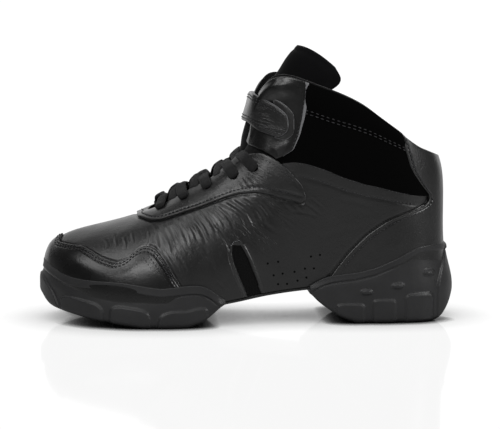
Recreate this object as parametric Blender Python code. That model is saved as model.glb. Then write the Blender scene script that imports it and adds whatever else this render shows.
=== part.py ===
"""Dance sneaker with a split sole, left shoe, as closed solids. Metres, Z up, toe at -X, lateral side -Y."""
import math
from collections import namedtuple

import bmesh
import bpy
import numpy as np

# Named sizes of the shoe.
LENGTH = 0.275        # sole, heel to toe
WIDTH = 0.101         # sole across the ball
INSTEP = 0.167        # floor to the top of the collar's front
DROP = 0.0030         # heights in the tables start this far under the floor
SWING = 0.007         # how far the toe swings to the medial side
CENTRE = 0.0021       # moves the shoe back so that its box is centred on the origin
LIP = 0.0032          # how far the sole stands outside the feather line
GAP = 0.0003          # clearance between pieces
WALL = 0.0022         # upper's wall
PADDING = 0.0030      # extra wall round the collar
SKIN = 0.0013         # overlay thickness
SOLE_RIM = 0.0018     # thickness of the sole's rim
PAD_STEP = 0.0011     # how far the side pads stand out
TREAD_CUT = 0.0013    # depth of the tread's cross grooves
INSOLE = 0.0035       # insole thickness
WAIST = 0.0020        # waist piece thickness
LACE_WIDE = 0.0068    # lace width
LACE_THICK = 0.0020   # lace thickness
LACE_CROWN = 0.0028   # how far a lace bar's middle stands over the throat edge
LAY = 0.00045         # overlay's clearance over the upper
RIM_GAP = 0.0017      # how far over the sole's rim an overlay starts

# One rib of the upper, as shares: x of LENGTH, y of WIDTH, z of INSTEP. The sole's outline is out_x with
# lateral and medial; the rib starts there, climbs by rise and flare, passes reach and ends at edge.
Rib = namedtuple("Rib", "out_x lateral medial bed rise flare reach_x reach_y reach_z edge_x edge_y edge_z")
RIBS = (
    Rib(0.500, 0.000, 0.000, 0.192, 0.186, -0.090, 0.489, 0.000, 0.563, 0.458, 0.000, 0.677),
    Rib(0.478, 0.203, 0.198, 0.190, 0.186, -0.060, 0.469, 0.160, 0.569, 0.438, 0.144, 0.692),
    Rib(0.425, 0.327, 0.317, 0.189, 0.192, -0.030, 0.421, 0.269, 0.587, 0.395, 0.252, 0.727),
    Rib(0.356, 0.371, 0.356, 0.186, 0.216, -0.010, 0.356, 0.337, 0.632, 0.331, 0.322, 0.806),
    Rib(0.276, 0.371, 0.351, 0.180, 0.240, -0.005, 0.276, 0.356, 0.689, 0.255, 0.356, 0.893),
    Rib(0.196, 0.371, 0.332, 0.172, 0.251, 0.000, 0.200, 0.376, 0.719, 0.167, 0.361, 0.955),
    Rib(0.116, 0.381, 0.322, 0.162, 0.251, 0.010, 0.131, 0.381, 0.749, 0.067, 0.307, 1.003),
    Rib(0.036, 0.406, 0.332, 0.146, 0.240, 0.015, 0.058, 0.366, 0.731, 0.018, 0.178, 0.930),
    Rib(-0.044, 0.441, 0.361, 0.122, 0.216, 0.020, -0.007, 0.347, 0.647, -0.010, 0.141, 0.731),
    Rib(-0.124, 0.475, 0.416, 0.103, 0.198, 0.020, -0.087, 0.337, 0.551, -0.084, 0.144, 0.605),
    Rib(-0.211, 0.500, 0.475, 0.096, 0.180, 0.020, -0.171, 0.356, 0.455, -0.153, 0.140, 0.540),
    Rib(-0.305, 0.475, 0.500, 0.099, 0.165, 0.020, -0.270, 0.337, 0.395, -0.202, 0.124, 0.490),
    Rib(-0.397, 0.381, 0.465, 0.123, 0.168, 0.018, -0.356, 0.248, 0.371, -0.231, 0.090, 0.464),
    Rib(-0.476, 0.190, 0.327, 0.171, 0.180, 0.000, -0.415, 0.119, 0.365, -0.239, 0.046, 0.455),
    Rib(-0.515, -0.069, 0.069, 0.200, 0.195, -0.010, -0.436, 0.000, 0.359, -0.240, 0.000, 0.452),
)

# Side view of each sole unit: x as a share of LENGTH, rim and bottom as shares of INSTEP.
Side = namedtuple("Side", "x rim bottom")
FOREFOOT = (
    Side(-0.515, 0.262, 0.132), Side(-0.503, 0.250, 0.096), Side(-0.488, 0.236, 0.080),
    Side(-0.462, 0.216, 0.070), Side(-0.429, 0.204, 0.060), Side(-0.393, 0.200, 0.048),
    Side(-0.356, 0.199, 0.040), Side(-0.327, 0.197, 0.031), Side(-0.295, 0.191, 0.024),
    Side(-0.262, 0.182, 0.017), Side(-0.225, 0.174, 0.017), Side(-0.160, 0.184, 0.017),
    Side(-0.140, 0.184, 0.029), Side(-0.123, 0.180, 0.038), Side(-0.102, 0.162, 0.064),
    Side(-0.088, 0.142, 0.088), Side(-0.069, 0.122, 0.112),
)
HEEL = (
    Side(0.135, 0.168, 0.146), Side(0.148, 0.182, 0.120), Side(0.164, 0.196, 0.096),
    Side(0.184, 0.207, 0.072), Side(0.200, 0.211, 0.054), Side(0.215, 0.214, 0.039),
    Side(0.236, 0.218, 0.026), Side(0.252, 0.221, 0.017), Side(0.295, 0.238, 0.017),
    Side(0.353, 0.278, 0.017), Side(0.390, 0.310, 0.017), Side(0.412, 0.322, 0.017),
    Side(0.440, 0.325, 0.017), Side(0.457, 0.325, 0.024), Side(0.470, 0.324, 0.046),
    Side(0.485, 0.322, 0.078), Side(0.500, 0.320, 0.130),
)
FOREFOOT_GROOVES = (-0.456, -0.345, -0.232)
HEEL_GROOVES = (0.262, 0.362, 0.432)

# Panel edges. Each point is (place along the ribs, share of the way up the rib).
CAP_EDGE = ((9.45, 0.04), (9.50, 0.09), (9.70, 0.175), (9.95, 0.268), (10.21, 0.369), (10.49, 0.474), (10.66, 0.510),
            (10.80, 0.520), (10.97, 0.500), (11.19, 0.410), (11.47, 0.370), (11.90, 0.395), (12.30, 0.430),
            (12.60, 0.442), (13.08, 0.390), (13.55, 0.345), (13.80, 0.395), (14.00, 0.435))
STAY_LOW = ((5.88, 0.432), (6.00, 0.409), (6.29, 0.426), (6.77, 0.455), (7.20, 0.495), (7.60, 0.545), (8.15, 0.612),
            (8.60, 0.655), (9.02, 0.683), (9.44, 0.712), (9.94, 0.742), (10.36, 0.757), (10.72, 0.768),
            (11.13, 0.800), (11.50, 0.845), (11.80, 0.873), (12.40, 0.905), (13.20, 0.930), (14.00, 0.938))
STAY_HIGH = ((5.88, 0.434), (5.98, 0.483), (6.26, 0.538), (6.71, 0.613), (7.09, 0.670), (7.59, 0.762), (8.00, 0.860),
             (8.25, 0.985), (14.00, 0.985))
COUNTER_EDGE = ((5.16, 0.034), (5.04, 0.063), (4.64, 0.149), (4.06, 0.250), (3.37, 0.353), (2.70, 0.428), (1.95, 0.510),
                (1.72, 0.560), (1.75, 0.600), (2.13, 0.658), (2.38, 0.710), (2.53, 0.762), (2.64, 0.884), (2.70, 1.000))
WING_BACK = ((6.62, 0.625), (6.50, 0.632), (6.20, 0.645), (5.93, 0.708), (5.70, 0.793), (5.44, 0.912), (5.34, 0.985),
             (5.33, 1.000))
WING_FRONT = ((6.76, 0.625), (7.14, 0.690), (7.48, 0.765), (7.74, 0.850), (7.92, 0.930), (7.98, 1.000))
QUARTER_TOP = ((1.75, 0.605), (2.10, 0.590), (2.60, 0.570), (3.22, 0.556), (4.04, 0.545), (4.68, 0.562), (5.19, 0.586),
               (5.82, 0.602), (6.22, 0.612), (6.62, 0.616))

# Tongue rows: centre x, centre z, half width, edge x, edge z as shares; thick as a share of WALL.
TongueRow = namedtuple("TongueRow", "x z half edge_x edge_z thick")
TONGUE = (
    TongueRow(-0.250, 0.4315, 0.120, -0.244, 0.404, 0.9),
    TongueRow(-0.190, 0.466, 0.170, -0.178, 0.432, 1.1),
    TongueRow(-0.126, 0.540, 0.200, -0.104, 0.490, 1.3),
    TongueRow(-0.066, 0.610, 0.225, -0.036, 0.546, 1.5),
    TongueRow(-0.026, 0.684, 0.225, 0.016, 0.602, 1.9),
    TongueRow(-0.015, 0.764, 0.236, 0.050, 0.690, 2.3),
    TongueRow(0.002, 0.850, 0.246, 0.080, 0.780, 2.3),
    TongueRow(0.031, 0.932, 0.252, 0.112, 0.858, 2.3),
    TongueRow(0.066, 1.000, 0.258, 0.152, 0.912, 2.5),
    TongueRow(0.088, 1.062, 0.250, 0.194, 0.950, 2.7),
    TongueRow(0.104, 1.100, 0.240, 0.220, 0.974, 2.5),
    TongueRow(0.116, 1.120, 0.205, 0.222, 1.000, 1.3),
)

TONGUE_BEND = 1.8

# Strap rows on the side: x as a share of LENGTH, centre z and half height as shares of INSTEP.
StrapRow = namedtuple("StrapRow", "x z half")
STRAP = (
    StrapRow(0.0865, 0.813, 0.004), StrapRow(0.0835, 0.8145, 0.028), StrapRow(0.076, 0.816, 0.044),
    StrapRow(0.062, 0.821, 0.06), StrapRow(0.04, 0.837, 0.067), StrapRow(0.0195, 0.852, 0.068),
)
STRAP_FRONT_X = 0.0062
STRAP_FRONT_Z = 0.877
STRAP_FRONT_HALF = 0.058
STRAP_LEAN = 0.0031
STRAP_BEND = 0.0228

# Lace bars: their places along the ribs.
LACE_ROWS = (8.38, 8.92, 9.46, 10.02, 10.62, 11.35)

LAST = len(RIBS) - 1
LOOP = 2 * LAST


def swing(x):
    """Sideways shift of the shoe's middle line at length x."""
    return SWING * max(0.0, (0.073 * LENGTH - x) / (0.573 * LENGTH)) ** 1.6


def height(share):
    """Height over the floor of a share in the tables."""
    return share * INSTEP - DROP


def loop_rows():
    """All ribs round the shoe: heel, lateral side, toe, medial side."""
    rows = []
    for side, ribs in ((-1, RIBS), (1, RIBS[LAST - 1:0:-1])):
        for rib in ribs:
            reach_x, edge_x = rib.reach_x * LENGTH, rib.edge_x * LENGTH
            out_y = rib.lateral if side < 0 else rib.medial
            rows.append((rib.out_x * LENGTH, side * out_y * WIDTH, height(rib.bed),
                         rib.rise * INSTEP, rib.flare * WIDTH,
                         reach_x, swing(reach_x) + side * rib.reach_y * WIDTH, height(rib.reach_z),
                         edge_x, swing(edge_x) + side * rib.edge_y * WIDTH, height(rib.edge_z)))
    return np.array(rows)


ROWS = loop_rows()


def row_at(u):
    """Smooth values between ribs at place u, counted in ribs round the closed loop."""
    u = u % LOOP
    i = int(math.floor(u))
    f = u - i
    a, b, c, d = (ROWS[(i + k) % LOOP] for k in (-1, 0, 1, 2))
    return 0.5 * (2 * b + (c - a) * f + (2 * a - 5 * b + 4 * c - d) * f * f
                  + (3 * b - a - 3 * c + d) * f ** 3)


def outward(u):
    """Level direction away from the shoe at the sole's outline."""
    ahead = row_at(u + 0.01)[:2] - row_at(u - 0.01)[:2]
    side = np.array((-ahead[1], ahead[0], 0.0))
    return side / np.linalg.norm(side)


def surface(u, v):
    """Point of the upper's outer face: u round the shoe in ribs, v from the feather line to the edge."""
    row = row_at(u)
    out = outward(u)
    low = np.array((row[0], row[1], row[2] + GAP)) - out * (LIP + GAP)
    climb = low + out * row[4] + np.array((0.0, 0.0, row[3]))
    w = 1.0 - v
    return w ** 3 * low + 3 * w * w * v * climb + 3 * w * v * v * row[5:8] + v ** 3 * row[8:11]


def slopes(u, v):
    """Directions round and up the outer face."""
    step = 0.004
    up = surface(u, min(v + step, 1.0)) - surface(u, max(v - step, 0.0))
    return surface(u + step, v) - surface(u - step, v), up / np.linalg.norm(up)


def normal(u, v):
    """Outward direction of the upper's outer face."""
    around, up = slopes(u, v)
    out = np.cross(up, around)
    return out / np.linalg.norm(out)


def lift(u, v, distance):
    """Point at a distance outside the upper's outer face."""
    return surface(u, v) + normal(u, v) * distance


def climb_to(u, goal):
    """Share of the way up the rib at which it reaches the height goal."""
    low, high = 0.0, 0.9
    for _ in range(24):
        half = 0.5 * (low + high)
        if surface(u, half)[2] < goal:
            low = half
        else:
            high = half
    return 0.5 * (low + high)


def table(points, value, key=0, out=1):
    """Straight-line reading of a short table."""
    rows = sorted(points, key=lambda p: p[key])
    return float(np.interp(value, [p[key] for p in rows], [p[out] for p in rows]))


def place_of(x):
    """Place along the lateral ribs at which the sole's outline has length x."""
    low, high = 0.0, float(LAST)
    for _ in range(30):
        half = 0.5 * (low + high)
        if row_at(half)[0] > x:
            low = half
        else:
            high = half
    return 0.5 * (low + high)


def find(x, z, side):
    """Place (u, v) on one side of the upper that a point of the side view shows."""
    best = None
    for u in np.arange(5.0, 8.6, 0.2):
        place = u if side < 0 else LOOP - u
        for v in np.arange(0.5, 1.0, 0.05):
            p = surface(place, v)
            miss = (p[0] - x) ** 2 + (p[2] - z) ** 2
            if best is None or miss < best[0]:
                best = (miss, place, v)
    _, u, v = best
    for _ in range(12):
        p = surface(u, v)
        du, dv = (surface(u + 1e-3, v) - p) / 1e-3, (surface(u, v + 1e-3) - p) / 1e-3
        grid = np.array(((du[0], dv[0]), (du[2], dv[2])))
        move = np.clip(np.linalg.solve(grid, (x - p[0], z - p[2])), -0.2, 0.2)
        u, v = u + move[0], min(v + move[1], 0.995)
    return u, v


def material(name, colour, roughness):
    """Plain finish for one group of pieces."""
    made = bpy.data.materials.new(name)
    made.use_nodes = True
    shader = made.node_tree.nodes["Principled BSDF"]
    shader.inputs["Base Color"].default_value = (*colour, 1.0)
    shader.inputs["Roughness"].default_value = roughness
    return made


def solid(name, points, faces, finish):
    """One closed solid from points and faces, with its faces turned outward."""
    mesh = bmesh.new()
    verts = [mesh.verts.new((p[0] + CENTRE, p[1], p[2])) for p in points]
    for face in faces:
        ring = [verts[i] for i in face]
        if len(set(ring)) > 2:
            mesh.faces.new(ring)
    bmesh.ops.remove_doubles(mesh, verts=mesh.verts[:], dist=1e-6)
    bmesh.ops.dissolve_degenerate(mesh, edges=mesh.edges[:], dist=1e-7)
    bmesh.ops.triangulate(mesh, faces=[f for f in mesh.faces if len(f.verts) > 3])
    bmesh.ops.recalc_face_normals(mesh, faces=mesh.faces[:])
    if mesh.calc_volume(signed=True) < 0:
        bmesh.ops.reverse_faces(mesh, faces=mesh.faces[:])
    data = bpy.data.meshes.new(name)
    mesh.to_mesh(data)
    mesh.free()
    made = bpy.data.objects.new(name, data)
    made.data.materials.append(finish)
    bpy.context.collection.objects.link(made)
    return made


def loft(name, rings, finish, cap_last=True, closed=False):
    """Solid through closed rings of equal length."""
    size = len(rings[0])
    points = [p for ring in rings for p in ring]
    faces = []
    count = len(rings)
    for i in range(count if closed else count - 1):
        a, b = i * size, ((i + 1) % count) * size
        for j in range(size):
            k = (j + 1) % size
            faces.append((a + j, a + k, b + k, b + j))
    if not closed:
        faces.append(tuple(range(size)))
    if cap_last and not closed:
        faces.append(tuple(range((count - 1) * size, count * size)))
    return solid(name, points, faces, finish)


def patch(name, grid, finish, low=LAY, high=LAY + SKIN):
    """Overlay that lies on the upper: grid holds rows of (u, v)."""
    rings = []
    for row in grid:
        top = [lift(u, v, high) for u, v in row]
        base = [lift(u, v, low) for u, v in row]
        rings.append(top + base[::-1])
    return loft(name, rings, finish)


def half_places():
    """Places of the ribs along one side, closer where the shoe turns."""
    return np.concatenate((np.arange(0.0, 6.0, 0.5), np.arange(6.0, 8.5, 0.25),
                           np.arange(8.5, 12.5, 0.5), np.arange(12.5, 14.1, 0.3)))


def make_upper(finish):
    """Hollow upper with a real wall, thicker round the collar."""
    places = half_places()
    places = list(places) + [LOOP - p for p in places[-2:0:-1]]
    climbs = (0.0, 0.08, 0.18, 0.30, 0.42, 0.54, 0.66, 0.77, 0.87, 0.96, 1.0)
    rings = []
    for u in places:
        near_collar = 1.0 if min(u, LOOP - u) < 5.4 else 0.0
        out = outward(u)
        outer = [surface(u, v) for v in climbs]
        inner = [surface(u, 0.0) - out * WALL]
        for v in climbs[1:]:
            swell = near_collar * PADDING * min(1.0, max(0.0, (v - 0.66) / 0.12))
            swell *= min(1.0, max(0.35, (1.0 - v) / 0.05))
            inner.append(lift(u, v, -(WALL + swell)))
        up = slopes(u, 1.0)[1]
        crest = 0.5 * (outer[-1] + inner[-1]) + up * 0.0009
        rings.append(outer + [crest] + inner[::-1])
    return loft("upper", rings, finish, closed=True)


def rim_place(u, side_rows):
    """Place just above the sole's rim at u."""
    half = min(u, LOOP - u)
    return climb_to(u, height(table(side_rows, row_at(half)[0] / LENGTH)) + RIM_GAP)


def make_toe_cap(finish):
    """Cap round the toe, from the sole's rim to its scalloped upper edge."""
    grid = []
    places = [9.62, 9.8, 9.95, 10.2, 10.4, 10.6, 10.8, 11.0, 11.25, 11.5, 11.75, 12.0, 12.25, 12.5, 12.65, 12.8, 12.95,
              13.1, 13.25, 13.4, 13.55, 13.7, 13.85, 14.0]
    places += [LOOP - p for p in places[-2::-1]]
    for u in places:
        top = table(CAP_EDGE, min(u, LOOP - u))
        base = rim_place(u, FOREFOOT)
        grid.append([(u, base + (max(top, base + 0.02) - base) * t) for t in (0, 0.33, 0.67, 1)])
    return patch("toe_cap", grid, finish)


def make_counter(finish):
    """Counter round the heel with a waist in its front edge."""
    grid = []
    for t in np.linspace(0.0, 1.0, 14):
        v = 0.5
        for _ in range(12):
            end = table(COUNTER_EDGE, v, key=1, out=0)
            base = rim_place(end, HEEL)
            v = base + (0.985 - base) * t
        row = []
        for s in np.linspace(-1.0, 1.0, 19):
            u = end * s
            base = rim_place(abs(u), HEEL)
            row.append((u % LOOP, base + (0.985 - base) * t))
        grid.append(row)
    return patch("counter", grid, finish, low=LAY + 0.0011, high=LAY + SKIN + 0.0007)


def make_eyestay(finish):
    """Eyestay round the throat, from the lateral tip to the medial tip."""
    grid = []
    places = [5.93, 6.05, 6.25, 6.5, 6.75, 7.0, 7.25, 7.5, 7.75, 7.9, 8.0, 8.1, 8.25, 8.5, 8.75, 9.0, 9.5, 10.0,
              10.5, 10.75, 11.0, 11.5, 12.0, 12.5, 12.8, 13.1, 13.4, 13.7, 14.0]
    places += [LOOP - p for p in places[-2::-1]]
    for u in places:
        half = min(u, LOOP - u)
        low, high = table(STAY_LOW, half), table(STAY_HIGH, half)
        high = max(high, low + 0.01)
        steps = np.linspace(0.0, 1.0, 5)
        grid.append([(u, low + (high - low) * t) for t in steps])
    return patch("eyestay", grid, finish)


def side_place(u, side):
    """The same place on the lateral or the medial side."""
    return u if side < 0 else LOOP - u


def make_wing(name, side, finish):
    """Padded panel at the front of the ankle."""
    grid = []
    for v in (0.64, 0.68, 0.74, 0.80, 0.86, 0.92, 0.985):
        back = table(WING_BACK, v, key=1, out=0)
        front = table(WING_FRONT, v, key=1, out=0) - 0.03
        grid.append([(side_place(back + (front - back) * s, side), v) for s in np.linspace(0, 1, 10)])
    return patch(name, grid, finish)


def make_collar_panel(name, side, finish):
    """Suede panel between the counter, the quarter's top line and the wing."""
    grid = []
    for t in np.linspace(0.0, 1.0, 7):
        row = []
        for s in np.linspace(0.0, 1.0, 10):
            u, v = 4.0, 0.6
            for _ in range(8):
                start = table(COUNTER_EDGE, max(v, 0.61), key=1, out=0) + 0.06
                stop = table(WING_BACK, v, key=1, out=0) - 0.12
                u = start + (stop - start) * s
                base = table(QUARTER_TOP, u)
                v = base + (0.985 - base) * t
            row.append((side_place(u, side), v))
        grid.append(row)
    return patch(name, grid, finish)


def unit_ring(u, side_rows, grooves, side):
    """Half section of a sole unit at one station: bottom edge, side, rim, inner wall, bed edge."""
    x = row_at(u)[0]
    share = x / LENGTH
    place = side_place(u, side)
    row = row_at(place)
    out = outward(place)
    bed = row[2]
    rim = max(height(table(side_rows, share)), bed + 0.0007)
    bottom = min(max(0.0, height(table(side_rows, share, out=2))), bed - 0.0012)
    edge = np.array((row[0], row[1], 0.0))
    depth = min(1.0, max(0.0, (bed - bottom) / 0.012))
    dip = min(abs(share - g) for g in grooves) * LENGTH
    cut = 1.0 if dip < 0.0012 else 0.0
    pad = PAD_STEP * depth * (1.0 - cut)
    bottom += TREAD_CUT * cut * depth

    def at(base, push, z):
        p = base + out * push
        return np.array((p[0], p[1], z))

    top = surface(place, climb_to(place, rim))
    mid = surface(place, climb_to(place, 0.5 * (rim + bed)))
    low = surface(place, 0.0)
    span = bed - bottom
    points = [
        at(edge, -0.0024 * depth - 0.0004, bottom),
        at(edge, -0.0006 + pad, bottom + 0.16 * span),
        at(edge, 0.0 + pad, bottom + 0.50 * span),
        at(edge, -0.0006 + pad * 0.3, bottom + 0.92 * span),
        at(top, GAP + SOLE_RIM + 0.0002, rim - 0.30 * (rim - bed)),
        at(top, GAP + SOLE_RIM, rim),
        at(top, GAP, rim),
        at(mid, GAP, 0.5 * (rim + bed)),
        at(low, GAP, bed),
    ]
    return points


def make_unit(name, side_rows, grooves, stations, finish):
    """Moulded cup: stations run from the open end of the unit to its closed tip."""
    rings = []
    for u in stations:
        near = unit_ring(u, side_rows, grooves, -1)
        far = unit_ring(u, side_rows, grooves, 1)
        steps = (0.25, 0.5, 0.75)
        bed = [near[-1] + (far[-1] - near[-1]) * t for t in steps]
        base = [far[0] + (near[0] - far[0]) * t for t in steps]
        rings.append(near + bed + far[::-1] + base)
    return loft(name, rings, finish, cap_last=False)


def unit_stations(start, tip, side_rows, grooves, fine):
    """Stations between the open end and the tip, with one on each side of every groove."""
    cuts = []
    for g in grooves:
        for d in (-0.0017, -0.0010, 0.0010, 0.0017):
            cuts.append(place_of(g * LENGTH + d))
    spread = list(half_places()) + list(fine)
    places = cuts + [p for p in spread if min(abs(p - c) for c in cuts) > 0.04]
    low, high = min(start, tip), max(start, tip)
    places = sorted({round(p, 4) for p in places if low + 0.03 < p < high - 0.03} | {low, high})
    return places if start < tip else places[::-1]


def make_waist(finish):
    """Thin piece under the arch between the two sole units."""
    rings = []
    for u in np.linspace(place_of(0.135 * LENGTH) + 0.03, place_of(-0.069 * LENGTH) - 0.06, 7):
        near, far = surface(u, 0.0), surface(LOOP - u, 0.0)
        top = [near + (far - near) * t for t in (0.0, 0.25, 0.5, 0.75, 1.0)]
        drop = np.array((0.0, 0.0, GAP))
        top = [p - drop for p in top]
        base = [p - np.array((0.0, 0.0, WAIST)) for p in top]
        rings.append(top + base[::-1])
    return loft("waist", rings, finish)


def make_insole(finish):
    """Insole board inside the upper."""
    rings = []
    places = [0.18, 0.5, 1.0, 1.5] + list(np.arange(2.0, 13.0, 1.0)) + [13.0, 13.4, 13.75]
    rise = np.array((0.0, 0.0, INSOLE))
    for u in places:
        ends = []
        for place in (u, LOOP - u):
            low, out = surface(place, 0.0), outward(place)
            high = surface(place, climb_to(place, low[2] + INSOLE))
            lean = max(0.0, np.dot(low - high, out))
            ends.append(low - out * (WALL + GAP + 0.0005 + 1.2 * lean))
        near, far = ends
        base = [near + (far - near) * t for t in (0.0, 0.25, 0.5, 0.75, 1.0)]
        top = [p + rise for p in base]
        rings.append(base + top[::-1])
    return loft("insole", rings, finish)


def tongue_point(row, s, depth):
    """Point across the tongue: s from -1 lateral to 1 medial, depth behind its front face."""
    centre = np.array((row.x * LENGTH, swing(row.x * LENGTH), height(row.z)))
    edge = np.array((row.edge_x * LENGTH, 0.0, height(row.edge_z)))
    back = np.array((edge[0] - centre[0], 0.0, edge[2] - centre[2]))
    p = centre + back * abs(s) ** TONGUE_BEND
    p[1] += row.half * WIDTH * s
    return p + depth


def make_tongue(finish):
    """Padded tongue that wraps the front of the ankle."""
    rings = []
    for i, row in enumerate(TONGUE):
        a, b = TONGUE[max(i - 1, 0)], TONGUE[min(i + 1, len(TONGUE) - 1)]
        along = np.array(((b.x - a.x) * LENGTH, 0.0, (b.z - a.z) * INSTEP))
        along /= np.linalg.norm(along)
        behind = np.array((along[2], 0.0, -along[0]))
        steps = np.linspace(-1.0, 1.0, 11)
        front = [tongue_point(row, s, behind * 0.0) for s in steps]
        inner = [tongue_point(row, s * 0.97, behind * WALL * row.thick * (1.0 - 0.55 * s ** 4)) for s in steps]
        rings.append(front + inner[::-1])
    return loft("tongue", rings, finish)


def strap_rows():
    """Rows of the strap: (lower point, middle point, upper point, outward) from lateral end to medial end."""
    rows = []
    for side, order in ((-1, STRAP), (1, STRAP[::-1])):
        line = []
        for row in order:
            places = [find(row.x * LENGTH, height(row.z + row.half * k), side) for k in (-1, 0, 1)]
            line.append([(surface(u, v), normal(u, v)) for u, v in places])
        rows.append(line)
    near, far = rows
    front = []
    middle = swing(STRAP_FRONT_X * LENGTH)
    for s in (-0.82, -0.5, 0.0, 0.5, 0.82):
        line = []
        for k in (-1, 0, 1):
            z = height(STRAP_FRONT_Z + STRAP_FRONT_HALF * k - 0.012 * s * s)
            x = STRAP_FRONT_X * LENGTH + STRAP_LEAN * k * (1.0 - s * s) + 0.0022 * abs(s) ** 3
            y = middle + STRAP_BEND * s
            out = np.array((-1.0 + 0.35 * abs(s), 0.8 * s, 0.0))
            line.append((np.array((x, y, z)), out / np.linalg.norm(out)))
        front.append(line)
    return near + front + far


def make_strap(finish):
    """Strap over the wings and across the front of the tongue."""
    rings = []
    for line in strap_rows():
        top = [p + n * 0.0044 for p, n in line]
        base = [p + n * 0.0024 for p, n in line]
        rings.append(top + base[::-1])
    return loft("strap", rings, finish)


def lace_path(u):
    """Middle line of one lace bar, from the lateral to the medial eyelet row."""
    ends = [lift(place, 0.93, GAP + SKIN + GAP + 0.5 * LACE_THICK) for place in (u, LOOP - u)]
    edges = [lift(place, 1.0, GAP + SKIN + 2 * GAP + 0.5 * LACE_THICK) for place in (u, LOOP - u)]
    crown = 0.5 * (edges[0] + edges[1]) + np.array((-0.4, 0.0, 0.9)) * LACE_CROWN
    path = []
    for t in np.linspace(0.0, 1.0, 7):
        w = 1.0 - t
        a, b, c = edges[0], 2 * crown - 0.5 * (edges[0] + edges[1]), edges[1]
        path.append(w * w * a + 2 * w * t * b + t * t * c)
    return [ends[0]] + path + [ends[1]]


def make_lace(name, u, finish):
    """One flat lace bar across the throat."""
    path = lace_path(u)
    next_row = lace_path(u + 0.2)
    rings = []
    for i, p in enumerate(path):
        along = path[min(i + 1, len(path) - 1)] - path[max(i - 1, 0)]
        along /= np.linalg.norm(along)
        across = next_row[i] - p
        across -= along * np.dot(across, along)
        across /= np.linalg.norm(across)
        up = np.cross(along, across)
        ring = []
        for k in range(6):
            turn = math.tau * k / 6
            ring.append(p + across * math.cos(turn) * 0.5 * LACE_WIDE + up * math.sin(turn) * 0.5 * LACE_THICK)
        rings.append(ring)
    return loft(name, rings, finish)


def main():
    """Clear the startup scene and build every solid."""
    for old in list(bpy.data.objects):
        bpy.data.objects.remove(old, do_unlink=True)
    leather = material("black_leather", (0.018, 0.018, 0.020), 0.42)
    gloss = material("glossy_leather", (0.014, 0.014, 0.016), 0.30)
    suede = material("black_suede", (0.030, 0.030, 0.032), 0.90)
    rubber = material("sole_rubber", (0.035, 0.035, 0.037), 0.65)
    cloth = material("insole_cloth", (0.10, 0.10, 0.105), 0.95)
    cord = material("lace_cord", (0.028, 0.028, 0.030), 0.80)
    make_insole(cloth)
    make_upper(leather)
    make_toe_cap(gloss)
    make_counter(leather)
    make_eyestay(leather)
    for side, word in ((-1, "lateral"), (1, "medial")):
        make_collar_panel("collar_panel_" + word, side, suede)
        make_wing("wing_" + word, side, gloss)
    make_tongue(suede)
    for i, u in enumerate(LACE_ROWS):
        make_lace("lace_%d" % (i + 1), u, cord)
    make_strap(gloss)
    make_waist(leather)
    front = unit_stations(place_of(-0.069 * LENGTH), float(LAST), FOREFOOT, FOREFOOT_GROOVES,
                          (8.45, 8.7, 8.85, 9.25, 9.75, 10.25, 11.75))
    make_unit("forefoot_sole", FOREFOOT, FOREFOOT_GROOVES, front, rubber)
    rear = unit_stations(place_of(0.135 * LENGTH), 0.0, HEEL, HEEL_GROOVES, (0.25, 0.75, 1.25, 4.75, 5.2, 5.35, 5.6))
    make_unit("heel_sole", HEEL, HEEL_GROOVES, rear, rubber)


main()
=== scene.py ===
"""Dance sneaker, left shoe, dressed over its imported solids. Metres, toe at -X, lateral side at -Y, Z up."""
from __future__ import annotations

import logging
import math
from dataclasses import dataclass, field
from enum import Enum
from typing import Callable, Iterable, Sequence

import bmesh
import bpy
import numpy as np
from mathutils import Matrix, Vector

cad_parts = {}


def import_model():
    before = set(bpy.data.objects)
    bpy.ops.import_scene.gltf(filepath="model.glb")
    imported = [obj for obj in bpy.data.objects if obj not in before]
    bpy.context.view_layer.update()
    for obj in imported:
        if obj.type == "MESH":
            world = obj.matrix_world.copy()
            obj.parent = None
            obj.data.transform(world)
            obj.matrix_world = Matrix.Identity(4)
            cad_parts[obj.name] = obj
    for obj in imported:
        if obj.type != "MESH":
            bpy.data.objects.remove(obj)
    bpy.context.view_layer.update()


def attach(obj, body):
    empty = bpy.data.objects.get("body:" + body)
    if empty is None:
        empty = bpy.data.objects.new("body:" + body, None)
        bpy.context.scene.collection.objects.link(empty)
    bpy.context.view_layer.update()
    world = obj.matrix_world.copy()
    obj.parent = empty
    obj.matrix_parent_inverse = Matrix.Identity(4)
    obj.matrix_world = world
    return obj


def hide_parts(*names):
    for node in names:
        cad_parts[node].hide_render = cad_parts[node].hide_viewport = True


Array = np.ndarray
MM = 0.001
BODY = "root"
CENTRE = 2.1 * MM  # the tables start this far in front of the middle of the shoe's box
TURNED = 4  # points that turn down each edge of a sheet
WAVE_PERIOD = 0.31  # metres from band to band of a wave pattern at scale 1
LOG = logging.getLogger("dance_sneaker")


class Side(Enum):
    """Side of the shoe, with the sign that its Y has."""

    LATERAL = -1
    MEDIAL = 1


@dataclass(frozen=True)
class Rib:
    """One rib of the upper: x as shares of length, y of width, z of instep."""

    out_x: float
    lateral: float
    medial: float
    bed: float
    rise: float
    flare: float
    reach_x: float
    reach_y: float
    reach_z: float
    edge_x: float
    edge_y: float
    edge_z: float


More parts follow.
